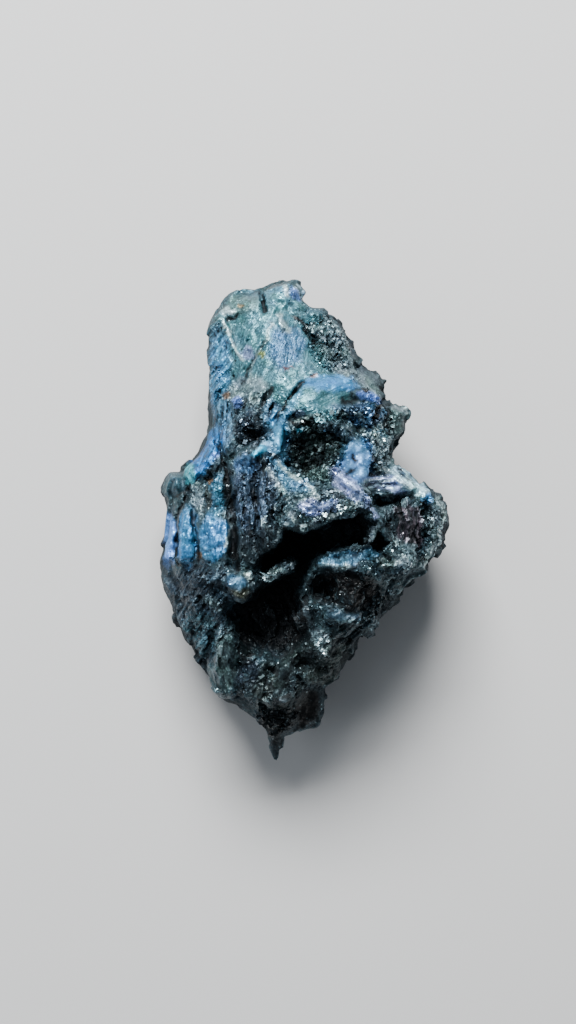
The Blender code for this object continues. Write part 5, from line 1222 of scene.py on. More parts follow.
def apply_modifier(piece: bpy.types.Object, kind: str, **settings: object) -> None:
    """Adds a modifier to a piece and applies it.

    Args:
        piece: The piece.
        kind: The modifier's type.
        settings: The modifier's settings.
    """
    modifier = piece.modifiers.new(kind.title(), kind)
    for name, value in settings.items():
        setattr(modifier, name, value)
    bpy.context.view_layer.objects.active = piece
    bpy.ops.object.modifier_apply(modifier=modifier.name)


def broad_ground(x: Array, y: Array) -> Array:
    """Draws a thin plate through the surveyed heights of the face.

    Args:
        x: The places' X.
        y: The places' Y.

    Returns:
        The height at each place.
    """
    survey = np.array(list(GROUND.values()))
    gap = np.hypot(survey[:, None, 0] - survey[None, :, 0], survey[:, None, 1] - survey[None, :, 1])
    count = len(survey)
    plane = np.column_stack([np.ones(count), survey[:, 0], survey[:, 1]])
    system = np.zeros((count + 3, count + 3))
    system[:count, :count] = gap**2 * np.log(gap + 1e-9)
    system[:count, count:] = plane
    system[count:, :count] = plane.T
    weights = np.linalg.solve(system, np.concatenate([survey[:, 2], np.zeros(3)]))
    height = weights[count] + weights[count + 1] * x + weights[count + 2] * y
    for (px, py, _), weight in zip(survey, weights):
        reach = np.hypot(x - px, y - py)
        height += weight * reach**2 * np.log(reach + 1e-9)
    return height


@dataclass
class Relief:
    """Heights over places of the plan, shaped form by form.

    Attributes:
        x: The places' X, bent a little.
        y: The places' Y, bent a little.
        height: The heights there.
    """

    x: Array
    y: Array
    height: Array

    def set_ledge(self, ledge: Ledge) -> None:
        """Sets the ground inside an outline to a tilted level of its own.

        Args:
            ledge: The outline and its level.
        """
        middle = np.mean(ledge.corners, axis=0)
        inner = depth_inside(self.x, self.y, ledge.corners)
        own = ledge.level + ledge.rise[0] * (self.x - middle[0]) + ledge.rise[1] * (self.y - middle[1])
        own += ledge.swell * ease(0.0, SWELL_WIDTH, inner)
        share = ease(-ledge.slope, ledge.slope, inner)
        self.height = self.height + share * (own - self.height)

    def sink_hollow(self, hollow: Hollow) -> None:
        """Sinks the ground inside an outline to a floor, and never raises it.

        Args:
            hollow: The outline and its floor.
        """
        middle = np.mean(hollow.corners, axis=0)
        inner = depth_inside(self.x, self.y, hollow.corners)
        floor = hollow.level + hollow.rise[0] * (self.x - middle[0]) + hollow.rise[1] * (self.y - middle[1])
        start, end = WALL_FROM_TO
        share = ease(start * hollow.wall, end * hollow.wall, inner)
        self.height = np.minimum(self.height, self.height + share * (floor - self.height))

    def add_seams(self, seams: Iterable[Seam]) -> None:
        """Adds ridges and clefts that fade at both ends. Where two meet, the greater one counts.

        Args:
            seams: The ridges and clefts.
        """
        ridge, cleft = np.zeros(self.x.shape), np.zeros(self.x.shape)
        for seam in seams:
            distance, along = distance_to_line(self.x, self.y, seam.line)
            fade = ease(0.0, SEAM_FADE, along) * ease(0.0, SEAM_FADE, 1.0 - along)
            strength = SEAM_END + (1.0 - SEAM_END) * fade
            profile = strength * np.clip(1.25 - distance / seam.half_width, 0.0, 1.0)
            ridge = np.maximum(ridge, seam.lift * profile)
            cleft = np.maximum(cleft, -seam.lift * profile)
        self.height = self.height + ridge - cleft

    def add_nodules(self, nodules: Iterable[Nodule]) -> None:
        """Adds angular lumps with flat tops.

        Args:
            nodules: The lumps.
        """
        for nodule in nodules:
            around = np.arctan2(self.y - nodule.y, self.x - nodule.x) - math.radians(nodule.turn)
            side = 2.0 * math.pi / NODULE_SIDES
            reach = nodule.reach(self.x, self.y) * np.cos(np.mod(around, side) - side / 2.0)
            self.height = self.height + nodule.lift * np.clip((1.0 - reach) / NODULE_SLOPE, 0.0, 1.0)


def face_heights(x: Array, y: Array) -> Array:
    """Works out the height of the sculptured face, before its edge is rounded off.

    Args:
        x: The places' X.
        y: The places' Y.

    Returns:
        The height at each place.
    """
    relief = Relief(*wander(x, y), broad_ground(x, y))
    for ledge in LEDGES.values():
        relief.set_ledge(ledge)
    for hollow in HOLLOWS.values():
        relief.sink_hollow(hollow)
    relief.add_seams(SEAMS.values())
    relief.add_nodules(NODULES.values())
    relief.add_seams(CRACKS.values())
    plan = np.column_stack([relief.x, relief.y, np.zeros(x.shape)])
    height = relief.height + SUGAR_SHARE * block_lifts(plan, SUGARY_BLOCKS, zone_strength(x, y, SUGARY))
    return height + block_lifts(plan, COLUMNAR_STAVES, zone_strength(x, y, COLUMNAR))


def back_heights(x: Array, y: Array) -> Array:
    """Works out the height of the back, before its edge is rounded off.

    Args:
        x: The places' X.
        y: The places' Y.

    Returns:
        The height at each place.
    """
    bent_x, bent_y = wander(x + BACK_SHIFT, y)
    bent_x -= BACK_SHIFT
    planes = [level + rise[0] * bent_x + rise[1] * bent_y for level, rise in BACK_PLANES]
    relief = Relief(bent_x, bent_y, np.max(planes, axis=0))
    relief.add_nodules(BACK_PITS)
    return relief.height


@dataclass
class OreLump:
    """The lump itself, sculpted in millimetres from a slab.

    Attributes:
        voxels: The grain of the slab, of the carved relief and of the finished surface.
        triangles: The most triangles that the finished lump may have.
        lump: The lump as it is sculpted.
    """

    voxels: tuple[float, float, float] = (0.17, 0.17, 0.16)
    triangles: int = 190_000
    lump: bpy.types.Object = field(init=False)

    def cut_blank(self) -> None:
        """Makes a slab as thick as the lump, cut to its outline."""
        bpy.ops.mesh.primitive_circle_add(vertices=len(OUTLINE), radius=1.0, fill_type="NGON")
        self.lump = bpy.context.object
        self.lump.name = self.lump.data.name = "ore_lump"
        move_points(self.lump.data, np.column_stack([OUTLINE, np.zeros(len(OUTLINE))]))
        bpy.ops.object.mode_set(mode="EDIT")
        bpy.ops.mesh.select_all(action="SELECT")
        bpy.ops.mesh.extrude_region_move(TRANSFORM_OT_translate={"value": (0.0, 0.0, SLAB_THICKNESS)})
        bpy.ops.mesh.select_all(action="SELECT")
        bpy.ops.mesh.normals_make_consistent(inside=False)
        bpy.ops.object.mode_set(mode="OBJECT")

    def remesh(self, voxel: float) -> None:
        """Rebuilds the surface with an even grain."""
        apply_modifier(self.lump, "REMESH", mode="VOXEL", voxel_size=voxel)

    def shoulder(self, inner: Array, width: float) -> Array:
        """Gives the share of its full height that a face has reached this far in from the edge."""
        share = np.clip(inner / width, 0.0, 1.0)
        return EDGE_SHARE + (1.0 - EDGE_SHARE) * np.sqrt(1.0 - (1.0 - share) ** 2)

    def carve(self) -> None:
        """Moves the slab's top to the face's relief and its underside to the back's planes."""
        points = points_of(self.lump.data)
        x, y = points[:, 0], points[:, 1]
        inner = np.maximum(depth_inside(x, y, OUTLINE), 0.0)
        edge = edge_height(x, y)
        share = np.clip(points[:, 2] / SLAB_THICKNESS, 0.0, 1.0)
        levels = []
        for there, heights, width in (
            (share < 1.0, back_heights, BACK_SHOULDER),
            (share > 0.0, face_heights, FACE_SHOULDER),
        ):
            level = edge.copy()
            level[there] += (heights(x[there], y[there]) - edge[there]) * self.shoulder(inner[there], width)
            levels.append(level)
        back, face = levels
        points[:, 2] = back + share * (face - back)
        move_points(self.lump.data, points)

    def roughen(self) -> None:
        """Moves the surface in and out along its normals: swells, facets, and blocks on the flanks."""
        points, normals = points_of(self.lump.data), points_of(self.lump.data, "normal")
        x, y = points[:, 0], points[:, 1]
        lift = block_lifts(points, FACETS)
        for size, reach in SWELLS:
            lift += reach * np.array([noise.noise(Vector(point) / size) for point in points])
        lift *= 1.0 - SMOOTHING * zone_strength(x, y, SMOOTH) * ease(0.0, 0.5, normals[:, 2])
        steep = steepness(normals)
        inner = ease(1.5, 3.5, depth_inside(x, y, OUTLINE))
        jagged = SMOOTH_FLANK + (1.0 - SMOOTH_FLANK) * ease(*JAGGED_FROM_TO, x)
        flank = FLANK_BLOCKS * jagged * steep * (1.0 - inner)
        lift += block_lifts(points, SUGARY_BLOCKS, flank)
        lift *= 1.0 - SMOOTHING * steep * inner
        move_points(self.lump.data, points + normals * lift[:, None])

    def chisel(self) -> None:
        """Breaks the finished surface into fine chips, and into splinters where it is striated."""
        points, normals = points_of(self.lump.data), points_of(self.lump.data, "normal")
        x, y, z = points.T
        up = ease(-0.2, 0.4, normals[:, 2])
        sugary, smooth = zone_strength(x, y, SUGARY), zone_strength(x, y, SMOOTH) * up
        rough = np.maximum(PLAIN_CHIPS, sugary) * (1.0 - SMOOTHING * smooth)
        rough *= 1.0 - SMOOTHING * steepness(normals) * (1.0 - ease(*JAGGED_FROM_TO, x))
        striae = striae_of(x, y)
        striated = striae[:, 2] * up
        depth = depth_inside(x, y, OUTLINE)
        inner = ease(0.6, 2.6, depth)
        craggy = zone_strength(x, y, CRAGGY) * up * inner
        staved = zone_strength(x, y, COLUMNAR) * ease(0.0, 0.3, striated)
        along = np.column_stack([striae[:, :2], HEIGHT_SHARE * z])
        layers = [
            (points, COARSE_PLANES, 7, (1.0 - smooth) * inner),
            (points, CRAGS, 83, craggy),
            (along, STAVES, 97, staved),
            (points, LEDGE_CHIPS, 11, sugary * (1.0 - smooth)),
            (points, CHIPS, 29, rough * (1.0 - 0.6 * striated) * (0.4 + 0.6 * inner)),
            (points, FINE_CHIPS, 47, rough * (1.0 - 0.8 * striated)),
            (along, SPLINTERS, 61, striated),
        ]
        fade = ease(0.0, 0.8, z - REST_LEVEL) * ease(*TIP_FROM_TO, y)
        fade *= RIM_SHARE + (1.0 - RIM_SHARE) * ease(0.0, 1.2, depth)
        for places, blocks, salt, share in layers:
            shift = broken(places, points, normals, blocks, salt)
            points = points + shift * (share * fade)[:, None]
        move_points(self.lump.data, points)

    def keep_main_body(self) -> None:
        """Drops loose crumbs and sealed pockets by keeping only the body with the most faces."""
        form = bmesh.new()
        form.from_mesh(self.lump.data)
        left = set(form.faces)
        bodies = []
        while left:
            body = {left.pop()}
            front = list(body)
            while front:
                for edge in front.pop().edges:
                    fresh = [other for other in edge.link_faces if other in left]
                    left.difference_update(fresh)
                    body.update(fresh)
                    front.extend(fresh)
            bodies.append(body)
        main_body = max(bodies, key=len)
        bmesh.ops.delete(form, geom=[face for face in form.faces if face not in main_body], context="FACES")
        form.to_mesh(self.lump.data)
        form.free()

    def cut_rest(self) -> None:
        """Cuts the back off flat where the lump rests, and closes the cut."""
        form = bmesh.new()
        form.from_mesh(self.lump.data)
        bmesh.ops.bisect_plane(
            form, geom=list(form.verts) + list(form.edges) + list(form.faces),
            plane_co=(0.0, 0.0, REST_LEVEL), plane_no=(0.0, 0.0, -1.0), clear_outer=True,
        )
        rims = [edge for edge in form.edges if edge.is_boundary]
        bmesh.ops.triangle_fill(form, edges=rims, use_beauty=True, normal=(0.0, 0.0, -1.0))
        bmesh.ops.triangulate(form, faces=form.faces)
        bmesh.ops.recalc_face_normals(form, faces=form.faces)
        form.to_mesh(self.lump.data)
        form.free()

    def thin_out(self) -> None:
        """Merges triangles down to the most that the lump may have, the back's before the face's."""
        count = sum(len(polygon.vertices) - 2 for polygon in self.lump.data.polygons)
        if count <= self.triangles:
            return
        upward = points_of(self.lump.data, "normal")[:, 2]
        loose = self.lump.vertex_groups.new(name="loose")
        for index, share in enumerate(1.0 - FACE_KEEPS * ease(-0.4, 0.4, upward)):
            loose.add([index], float(share), "REPLACE")
        apply_modifier(
            self.lump, "DECIMATE", ratio=self.triangles / count, use_collapse_triangulate=True,
            vertex_group=loose.name, vertex_group_factor=THINNING_WEIGHT,
        )
        self.lump.vertex_groups.clear()

    def build(self) -> bpy.types.Object:
        """Sculpts the lump.

        Returns:
            The lump, still in millimetres.
        """
        slab, carved, finished = self.voxels
        self.cut_blank()
        self.remesh(slab)
        self.carve()
        self.remesh(carved)
        self.roughen()
        self.remesh(finished)
        self.keep_main_body()
        self.thin_out()
        self.cut_rest()
        self.chisel()
        return self.lump


@dataclass
class Markings:
    """What the sculpting knows about each place of a surface, written to it as attributes.

    Attributes:
        depth_reach: How far round a place its neighbours are averaged to see how deep it lies.
        cell: The side of the squares that the face's heights are read on.
        half_map: Half the width and half the length of the map of those squares.
        broad: The heights on the map, averaged over the reach.
    """

    depth_reach: float = 2.2
    cell: float = 0.25
    half_map: Place = (20.0, 32.0)
    broad: Array | None = None

    def square(self, points: Array) -> tuple[Array, ...]:
        """Finds the row and the column of the square that each point stands on.

        Args:
            points: The points.

        Returns:
            The rows and the columns.
        """
        found = []
        for axis, half in ((1, self.half_map[1]), (0, self.half_map[0])):
            steps = np.clip((points[:, axis] + half) / self.cell, 0, 2.0 * half / self.cell - 1)
            found.append(steps.astype(int))
        return tuple(found)

    def survey(self, points: Array) -> None:
        """Maps the face's heights, averaged over the reach.

        Args:
            points: The lump's points.
        """
        heights = np.zeros([int(2.0 * half / self.cell) for half in reversed(self.half_map)])
        np.maximum.at(heights, self.square(points), points[:, 2])
        steps = np.arange(-3.0 * self.depth_reach, 3.0 * self.depth_reach + self.cell, self.cell)
        weights = np.exp(-0.5 * (steps / self.depth_reach) ** 2)
        sums = [heights, (heights > 0.0).astype(float)]
        for axis in (0, 1):
            sums = [np.apply_along_axis(np.convolve, axis, grid, weights, "same") for grid in sums]
        self.broad = sums[0] / np.maximum(sums[1], 1e-6)

    def hollow(self, points: Array) -> Array:
        """Works out how far down in a hollow each point lies, 0 to 1."""
        return ease(0.3, 4.2, self.broad[self.square(points)] - points[:, 2])

    def crest(self, mesh: bpy.types.Mesh, points: Array, normals: Array) -> Array:
        """Works out how far each vertex stands out from its neighbours.

        Args:
            mesh: The mesh.
            points: Its vertices.
            normals: Their normals.

        Returns:
            The height over the neighbours' mean, in millimetres.
        """
        edges = np.empty(len(mesh.edges) * 2, int)
        mesh.edges.foreach_get("vertices", edges)
        first, second = edges.reshape(-1, 2).T
        count = np.bincount(edges, minlength=len(points)).astype(float)
        smooth = points.copy()
        for _ in range(CREST_ROUNDS):
            total = np.zeros_like(smooth)
            for axis in range(3):
                total[:, axis] = np.bincount(first, smooth[second, axis], len(points))
                total[:, axis] += np.bincount(second, smooth[first, axis], len(points))
            smooth = total / np.maximum(count, 1.0)[:, None]
        return np.einsum("ij,ij->i", points - smooth, normals)

    def facing(self, points: Array, normals: Array, bent_x: Array) -> Array:
        """Works out how fully each point takes the painted colour, which fades out on the flanks and the
        back.

        Args:
            points: The points.
            normals: The surface's normals there.
            bent_x: The points' X, bent a little, so that the painted colour ends in a ragged line.

        Returns:
            The share of each point, 0 to 1.
        """
        over_edge = points[:, 2] - edge_height(points[:, 0], points[:, 1])
        rim = 0.55 * (1.0 - ease(0.3, 1.8, depth_inside(points[:, 0], points[:, 1], OUTLINE)))
        rim *= 1.0 - ease(0.8, 3.4, over_edge)
        up = ease(rim - 0.25, rim + 0.35, normals[:, 2])
        return up * ease(-1.6, 1.4, over_edge + 2.5 * (bent_x - points[:, 0]))

    def tint(self, points: Array, normals: Array) -> Array:
        """Paints the tarnish, with painted shade and painted highlights among the patches and lines.

        Args:
            points: The points.
            normals: The surface's normals there.

        Returns:
            The colour of each point, in linear light.
        """
        x, y = wander(points[:, 0], points[:, 1], STAIN_WANDER)
        up = self.facing(points, normals, x)
        layers = [(stain, ease(0.0, 0.45, 1.12 - stain.reach(x, y))) for stain in STAINS.values()]
        for streak in STREAKS.values():
            distance, _ = distance_to_line(x, y, streak.line)
            layers.append((streak, np.clip(1.5 - distance / streak.half_width, 0.0, 1.0)))
        colours = np.tile(np.array(Hue.ROCK.linear()), (len(points), 1))
        for mark, share in layers:
            share = mark.most * share * up
            colours += share[:, None] * (np.array(mark.tarnish_and_painted_light.linear()) - colours)
        return colours

    def write(self, mesh: bpy.types.Mesh, points: Array, normals: Array, crest: Array) -> None:
        """Writes every marking to a mesh: its shape (hollow, crest, sugary), striae, and tarnish with painted
        shade and highlights.

        Sugary ore is up to 1, plain ore 0, and a calm face down to -1.

        Args:
            mesh: The mesh.
            points: The place on the lump that each of its vertices takes its markings from.
            normals: The lump's normals there.
            crest: How far each vertex stands out.
        """
        x, y = points[:, 0], points[:, 1]
        sugary = zone_strength(x, y, SUGARY) * (1.0 - SMOOTHING * zone_strength(x, y, SMOOTH))
        sugary = np.maximum(sugary, ease(0.1, -0.3, normals[:, 2]) * 0.5)
        sugary -= zone_strength(x, y, CALM) * ease(0.0, 0.4, normals[:, 2])
        shape = np.column_stack([self.hollow(points), crest, sugary])
        for name, rows in (("shape", shape), ("striae", striae_of(x, y))):
            layer = mesh.attributes.new(name, "FLOAT_VECTOR", "POINT")
            layer.data.foreach_set("vector", rows.astype(np.float32).ravel())
        colours = np.column_stack([self.tint(points, normals), np.ones(len(points))])
        layer = mesh.attributes.new("tarnish_and_painted_light", "FLOAT_COLOR", "POINT")
        layer.data.foreach_set("color", colours.astype(np.float32).ravel())


@dataclass
class CrystalCrust:
    """Small crystals that stand on broken, sugary ore, joined in one mesh.

    Attributes:
        name: The piece's name.
        count: How many crystals there are.
        sizes: The smallest and the largest crystal, across.
        squash: The least and the most that each side of a crystal is stretched.
        sunk: The share of its size that a crystal is sunk into the lump.
        seed: The start of the draws that place and turn them.
    """

    name: str = "crystal_crust"
    count: int = 4600
    sizes: Place = (0.16, 0.56)
    squash: Place = (0.55, 1.25)
    sunk: float = 0.5
    seed: int = 7

    def pattern(self) -> tuple[Array, Array]:
        """Models one blocky crystal.

        Returns:
            Its points, and the corners of its triangles.
        """
        bpy.ops.mesh.primitive_cube_add(size=1.0)
        crystal = bpy.context.object
        bpy.ops.object.mode_set(mode="EDIT")
        bpy.ops.mesh.select_all(action="SELECT")
        bpy.ops.transform.resize(value=(0.7, 0.9, 1.2))
        bpy.ops.mesh.quads_convert_to_tris()
        bpy.ops.object.mode_set(mode="OBJECT")
        points, corners = points_of(crystal.data), corners_of(crystal.data)
        bpy.data.objects.remove(crystal)
        return points, corners

    def chances(self, points: Array, normals: Array) -> Array:
        """Works out how likely each point of the lump is to carry a crystal.

        Args:
            points: The lump's points.
            normals: Their normals.

        Returns:
            The chances, which add up to 1.
        """
        x, y = points[:, 0], points[:, 1]
        face = ease(0.25, 0.6, normals[:, 2])
        bare = (1.0 - zone_strength(x, y, SMOOTH)) * ease(0.5, 1.5, depth_inside(x, y, OUTLINE))
        weights = (zone_strength(x, y, SUGARY) ** 1.5 + 0.004) * face * bare
        return weights / weights.sum()

    def build(self, points: Array, normals: Array) -> tuple[bpy.types.Object, Array]:
        """Places the crystals on the lump.

        Args:
            points: The lump's points.
            normals: Their normals.

        Returns:
            The crust, and the index of the lump's point under each of its vertices.
        """
        chance = np.random.default_rng(self.seed)
        chosen = chance.choice(len(points), self.count, replace=False, p=self.chances(points, normals))
        form, triangles = self.pattern()
        vertices, faces, feet = [], [], []
        for number, index in enumerate(chosen):
            size = self.sizes[0] + (self.sizes[1] - self.sizes[0]) * chance.random() ** 2.2
            stretch = size * chance.uniform(*self.squash, 3)
            axis = Vector(chance.normal(size=3)).normalized()
            turn = np.array(Matrix.Rotation(chance.uniform(0.0, math.tau), 3, axis))
            lift = size * (0.5 - self.sunk)
            vertices.append((form * stretch) @ turn.T + points[index] + normals[index] * lift)
            faces.append(triangles + number * len(form))
            feet.append(np.full(len(form), index))
        mesh = bpy.data.meshes.new(self.name)
        mesh.from_pydata(np.concatenate(vertices).tolist(), [], np.concatenate(faces).tolist())
        crust = bpy.data.objects.new(self.name, mesh)
        bpy.context.scene.collection.objects.link(crust)
        return crust, np.concatenate(feet)


class Wiring:
    """Adds nodes to a tree and joins their sockets."""

    def __init__(self, tree: bpy.types.NodeTree) -> None:
        """Starts on a tree."""
        self.tree = tree

    def feed(self, socket: Socket, value: object) -> None:
        """Joins a socket to another one, or sets its value.

        Args:
            socket: The input to feed.
            value: The output to join to it, or a value.
        """
        if isinstance(value, Socket):
            self.tree.links.new(value, socket)
        else:
            socket.default_value = value

    def add(self, kind: str, values: Mapping[str | int, object], **settings: object) -> bpy.types.Node:
        """Adds a node.

        Args:
            kind: The node's type.
            values: A value or a socket for each input that is set.
            settings: The node's own settings.

        Returns:
            The node.
        """
        node = self.tree.nodes.new(kind)
        for name, value in settings.items():
            setattr(node, name, value)
        for socket, value in values.items():
            self.feed(node.inputs[socket], value)
        return node

    def math(self, operation: str, *values: object) -> Socket:
        """Adds a Math node and returns its result."""
        return self.add("ShaderNodeMath", dict(enumerate(values)), operation=operation).outputs[0]

    def times(self, first: object, second: object) -> Socket:
        """Multiplies two values and returns the result."""
        return self.math("MULTIPLY", first, second)

    def vector(self, operation: str, values: Mapping[str | int, object]) -> Socket:
        """Adds a Vector Math node and returns its vector."""
        return self.add("ShaderNodeVectorMath", values, operation=operation).outputs["Vector"]

    def span(
        self, value: object, low: float, high: float, to_low: float = 0.0, to_high: float = 1.0,
    ) -> Socket:
        """Maps a value from one range to another, held at both ends, and returns the result."""
        values = {"Value": value, "From Min": low, "From Max": high, "To Min": to_low, "To Max": to_high}
        return self.add("ShaderNodeMapRange", values).outputs["Result"]

    def mix(self, share: object, first: object, second: object, mode: str = "MIX") -> Socket:
        """Mixes two colours.

        Args:
            share: How much of the second colour.
            first: The first colour.
            second: The second colour.
            mode: The way of mixing.

        Returns:
            The mixed colour.
        """
        node = self.add("ShaderNodeMix", {}, data_type="RGBA", blend_type=mode)
        for index, value in ((0, share), (6, first), (7, second)):
            self.feed(node.inputs[index], value)
        return node.outputs[2]

    def brighter(self, colour: object, factor: float, gain: Paint) -> Socket:
        """Multiplies a colour by a factor, adds a little to it and returns the result."""
        return self.mix(1.0, self.mix(1.0, colour, (factor, factor, factor, 1.0), "MULTIPLY"), gain, "ADD")

    def noise(self, place: object, scale: float, detail: float, roughness: float) -> bpy.types.Node:
        """Adds a noise texture and returns its node."""
        values = {"Vector": place, "Scale": scale, "Detail": detail, "Roughness": roughness}
        return self.add("ShaderNodeTexNoise", values)


def new_group(
    name: str, inputs: Mapping[str, str], outputs: Mapping[str, str],
) -> tuple[Wiring, bpy.types.Node, bpy.types.Node]:
    """Starts a shader node group.

    Args:
        name: The group's name.
        inputs: The type of socket for each input, Float or Vector.
        outputs: The type of socket for each output.

    Returns:
        The group's wiring, its input node and its output node.
    """
    tree = bpy.data.node_groups.new(name, "ShaderNodeTree")
    for way, sockets in (("INPUT", inputs), ("OUTPUT", outputs)):
        for label, kind in sockets.items():
            tree.interface.new_socket(label, in_out=way, socket_type="NodeSocket" + kind)
    wiring = Wiring(tree)
    return wiring, wiring.add("NodeGroupInput", {}), wiring.add("NodeGroupOutput", {})


def facet_group() -> bpy.types.NodeTree:
    """Builds the group that breaks a surface into tiny flat crystals, each turned its own way.

    Returns:
        The group, which gives a normal and a chance for the crystal at a place.
    """
    wiring, given, result = new_group(
        "crystal_facets",
        {"Place": "Vector", "Scale": "Float", "Tilt": "Float", "Normal": "Vector"},
        {"Normal": "Vector", "Chance": "Float"},
    )
    place, scale, tilt, normal = (given.outputs[name] for name in ("Place", "Scale", "Tilt", "Normal"))
    cells = wiring.add("ShaderNodeTexVoronoi", {"Vector": place, "Scale": scale}).outputs["Color"]
    centred = wiring.vector("SUBTRACT", {0: cells, 1: (0.5, 0.5, 0.5)})
    turned = wiring.vector("SCALE", {0: centred, "Scale": tilt})
    tilted = wiring.vector("ADD", {0: normal, 1: turned})
    wiring.feed(result.inputs["Normal"], wiring.vector("NORMALIZE", {0: tilted}))
    wiring.feed(result.inputs["Chance"], wiring.add("ShaderNodeSeparateXYZ", {0: cells}).outputs["X"])
    return wiring.tree


def striae_group() -> bpy.types.NodeTree:
    """Builds the group that draws growth lines along the way that the surface's striae run.

    Returns:
        The group, which gives the lines' height and how strong they are at a place.
    """
    wiring, given, result = new_group(
        "growth_lines", {"Spacing": "Float"}, {"Height": "Float", "Strength": "Float"},
    )
    marks = wiring.add("ShaderNodeAttribute", {}, attribute_name="striae")
    parts = wiring.add("ShaderNodeSeparateXYZ", {0: marks.outputs["Vector"]})
    across = wiring.math("DIVIDE", parts.outputs["X"], given.outputs["Spacing"])
    along = wiring.times(parts.outputs["Y"], ALONG_SHARE)
    place = wiring.add("ShaderNodeCombineXYZ", {0: across, 1: along}).outputs[0]
    drift = wiring.noise(place, 0.7, 3.0, 0.6).outputs["Fac"]
    band = wiring.math("PINGPONG", wiring.math("MULTIPLY_ADD", drift, 3.4, across), 0.5)
    broken_up = wiring.noise(place, 1.6, 3.0, 0.65).outputs["Fac"]
    height = wiring.math("MULTIPLY_ADD", band, 0.8, wiring.times(broken_up, 1.4))
    wiring.feed(result.inputs["Height"], wiring.span(height, 0.62, 1.12))
    wiring.feed(result.inputs["Strength"], parts.outputs["Z"])
    return wiring.tree


@dataclass(frozen=True)
class OreFinish:
    """The finish of tarnished ore.

    Attributes:
        name: The material's name.
        facet: The size of the tiny crystals, in millimetres.
        tilt: How far they turn, on plain ore and on sugary ore.
        glint: The share of the crystals that flash on plain ore and on sugary ore.
        roughness: The roughness between them.
        metallic: How metallic the ore is.
    """

    name: str
    facet: float
    tilt: Place
    glint: Place
    roughness: float
    metallic: float

    def material(self, facets: bpy.types.NodeTree, striae: bpy.types.NodeTree) -> bpy.types.Material:
        """Builds the material.

        Args:
            facets: The group of the tiny crystals.
            striae: The group of the growth lines.

        Returns:
            The material.
        """
        material = bpy.data.materials.new(self.name)
        material.use_nodes = True
        wiring = Wiring(material.node_tree)
        shader = material.node_tree.nodes["Principled BSDF"]
        place = wiring.add("ShaderNodeTexCoord", {}).outputs["Object"]
        place = wiring.add("ShaderNodeMapping", {"Vector": place, "Scale": (MM_PER_METRE,) * 3}).outputs[0]
        normal = wiring.add("ShaderNodeNewGeometry", {}).outputs["Normal"]
        tarnish_and_painted_light = wiring.add("ShaderNodeAttribute", {}, attribute_name="tarnish_and_painted_light").outputs["Color"]
        shape = wiring.add("ShaderNodeAttribute", {}, attribute_name="shape").outputs["Vector"]
        hollow, crest, sugary = wiring.add("ShaderNodeSeparateXYZ", {0: shape}).outputs

        # Coarse and fine crystals, which turn less on a calm face, and growth lines
        lively = wiring.span(sugary, -1.0, 0.0, 0.3, 1.0)
        tilt = wiring.times(wiring.span(sugary, 0.0, 1.0, *self.tilt), lively)
        coarse = wiring.add("ShaderNodeGroup", {}, node_tree=facets)
        fine = wiring.add("ShaderNodeGroup", {}, node_tree=facets)
        turns = (
            (coarse, self.facet * 2.2, wiring.times(tilt, 0.6), normal),
            (fine, self.facet, tilt, coarse.outputs["Normal"]),
        )
        for node, size, turn, start in turns:
            for socket, value in (("Place", place), ("Scale", 1.0 / size), ("Tilt", turn), ("Normal", start)):
                wiring.feed(node.inputs[socket], value)
        lines = wiring.add("ShaderNodeGroup", {}, node_tree=striae)
        lines.inputs["Spacing"].default_value = LINE_SPACING
        line_height, line_strength = lines.outputs["Height"], lines.outputs["Strength"]

        # The tarnish with its painted shade and highlights, mottled in hue and shade, and shaded crystal by
        # crystal
        mottle = wiring.noise(place, 0.55, 4.0, 0.6)
        hue = wiring.mix(0.22, (0.5, 0.5, 0.5, 1.0), mottle.outputs["Color"])
        hue = wiring.mix(1.0, hue, (2.0, 2.0, 2.0, 1.0), "MULTIPLY")
        colour = wiring.mix(1.0, tarnish_and_painted_light, hue, "MULTIPLY")
        shade = wiring.span(mottle.outputs["Fac"], 0.32, 0.68, 0.80, 1.18)
        shade = wiring.times(shade, wiring.span(fine.outputs["Chance"], 0.0, 1.0, 0.62, 1.42))
        shade = wiring.times(shade, wiring.span(coarse.outputs["Chance"], 0.0, 1.0, 0.80, 1.22))
        shade = wiring.math("MULTIPLY_ADD", wiring.math("SUBTRACT", shade, 1.0), lively, 1.0)
        shade = wiring.add("ShaderNodeCombineXYZ", {0: shade, 1: shade, 2: shade}).outputs[0]
        colour = wiring.mix(1.0, colour, shade, "MULTIPLY")

        # Growth lines get painted shade in the grooves between them and a painted highlight on top
        groove = wiring.times(wiring.math("SUBTRACT", 1.0, line_height), line_strength)
        colour = wiring.mix(wiring.times(groove, 0.8), colour, GROOVE_SHADE_COLOUR)
        ridge = wiring.times(wiring.span(line_height, 0.7, 1.0), line_strength)
        colour = wiring.mix(wiring.times(ridge, 0.5), colour, wiring.brighter(colour, 2.0, RIDGE_HIGHLIGHT_GAIN))

        # Painted shade in pits, pale frost with a painted highlight on crests, and painted shade in hollows
        # and creases
        specks = wiring.noise(place, 3.4, 3.0, 0.7).outputs["Fac"]
        pitted = wiring.times(wiring.span(specks, 0.50, 0.40), wiring.span(sugary, 0.1, 0.9, 0.25, 0.9))
        colour = wiring.mix(pitted, colour, PIT_SHADE_COLOUR)
        edge = wiring.times(wiring.span(crest, 0.03, 0.14), wiring.span(specks, 0.42, 0.62))
        edge = wiring.times(wiring.times(edge, 0.6), lively)
        colour = wiring.mix(edge, colour, wiring.brighter(tarnish_and_painted_light, 2.4, CREST_FROST_AND_HIGHLIGHT_GAIN))
        deep = wiring.math("MAXIMUM", hollow, wiring.span(crest, -0.02, -0.14))
        colour = wiring.mix(wiring.times(deep, 0.68), colour, HOLLOW_SHADE_COLOUR)

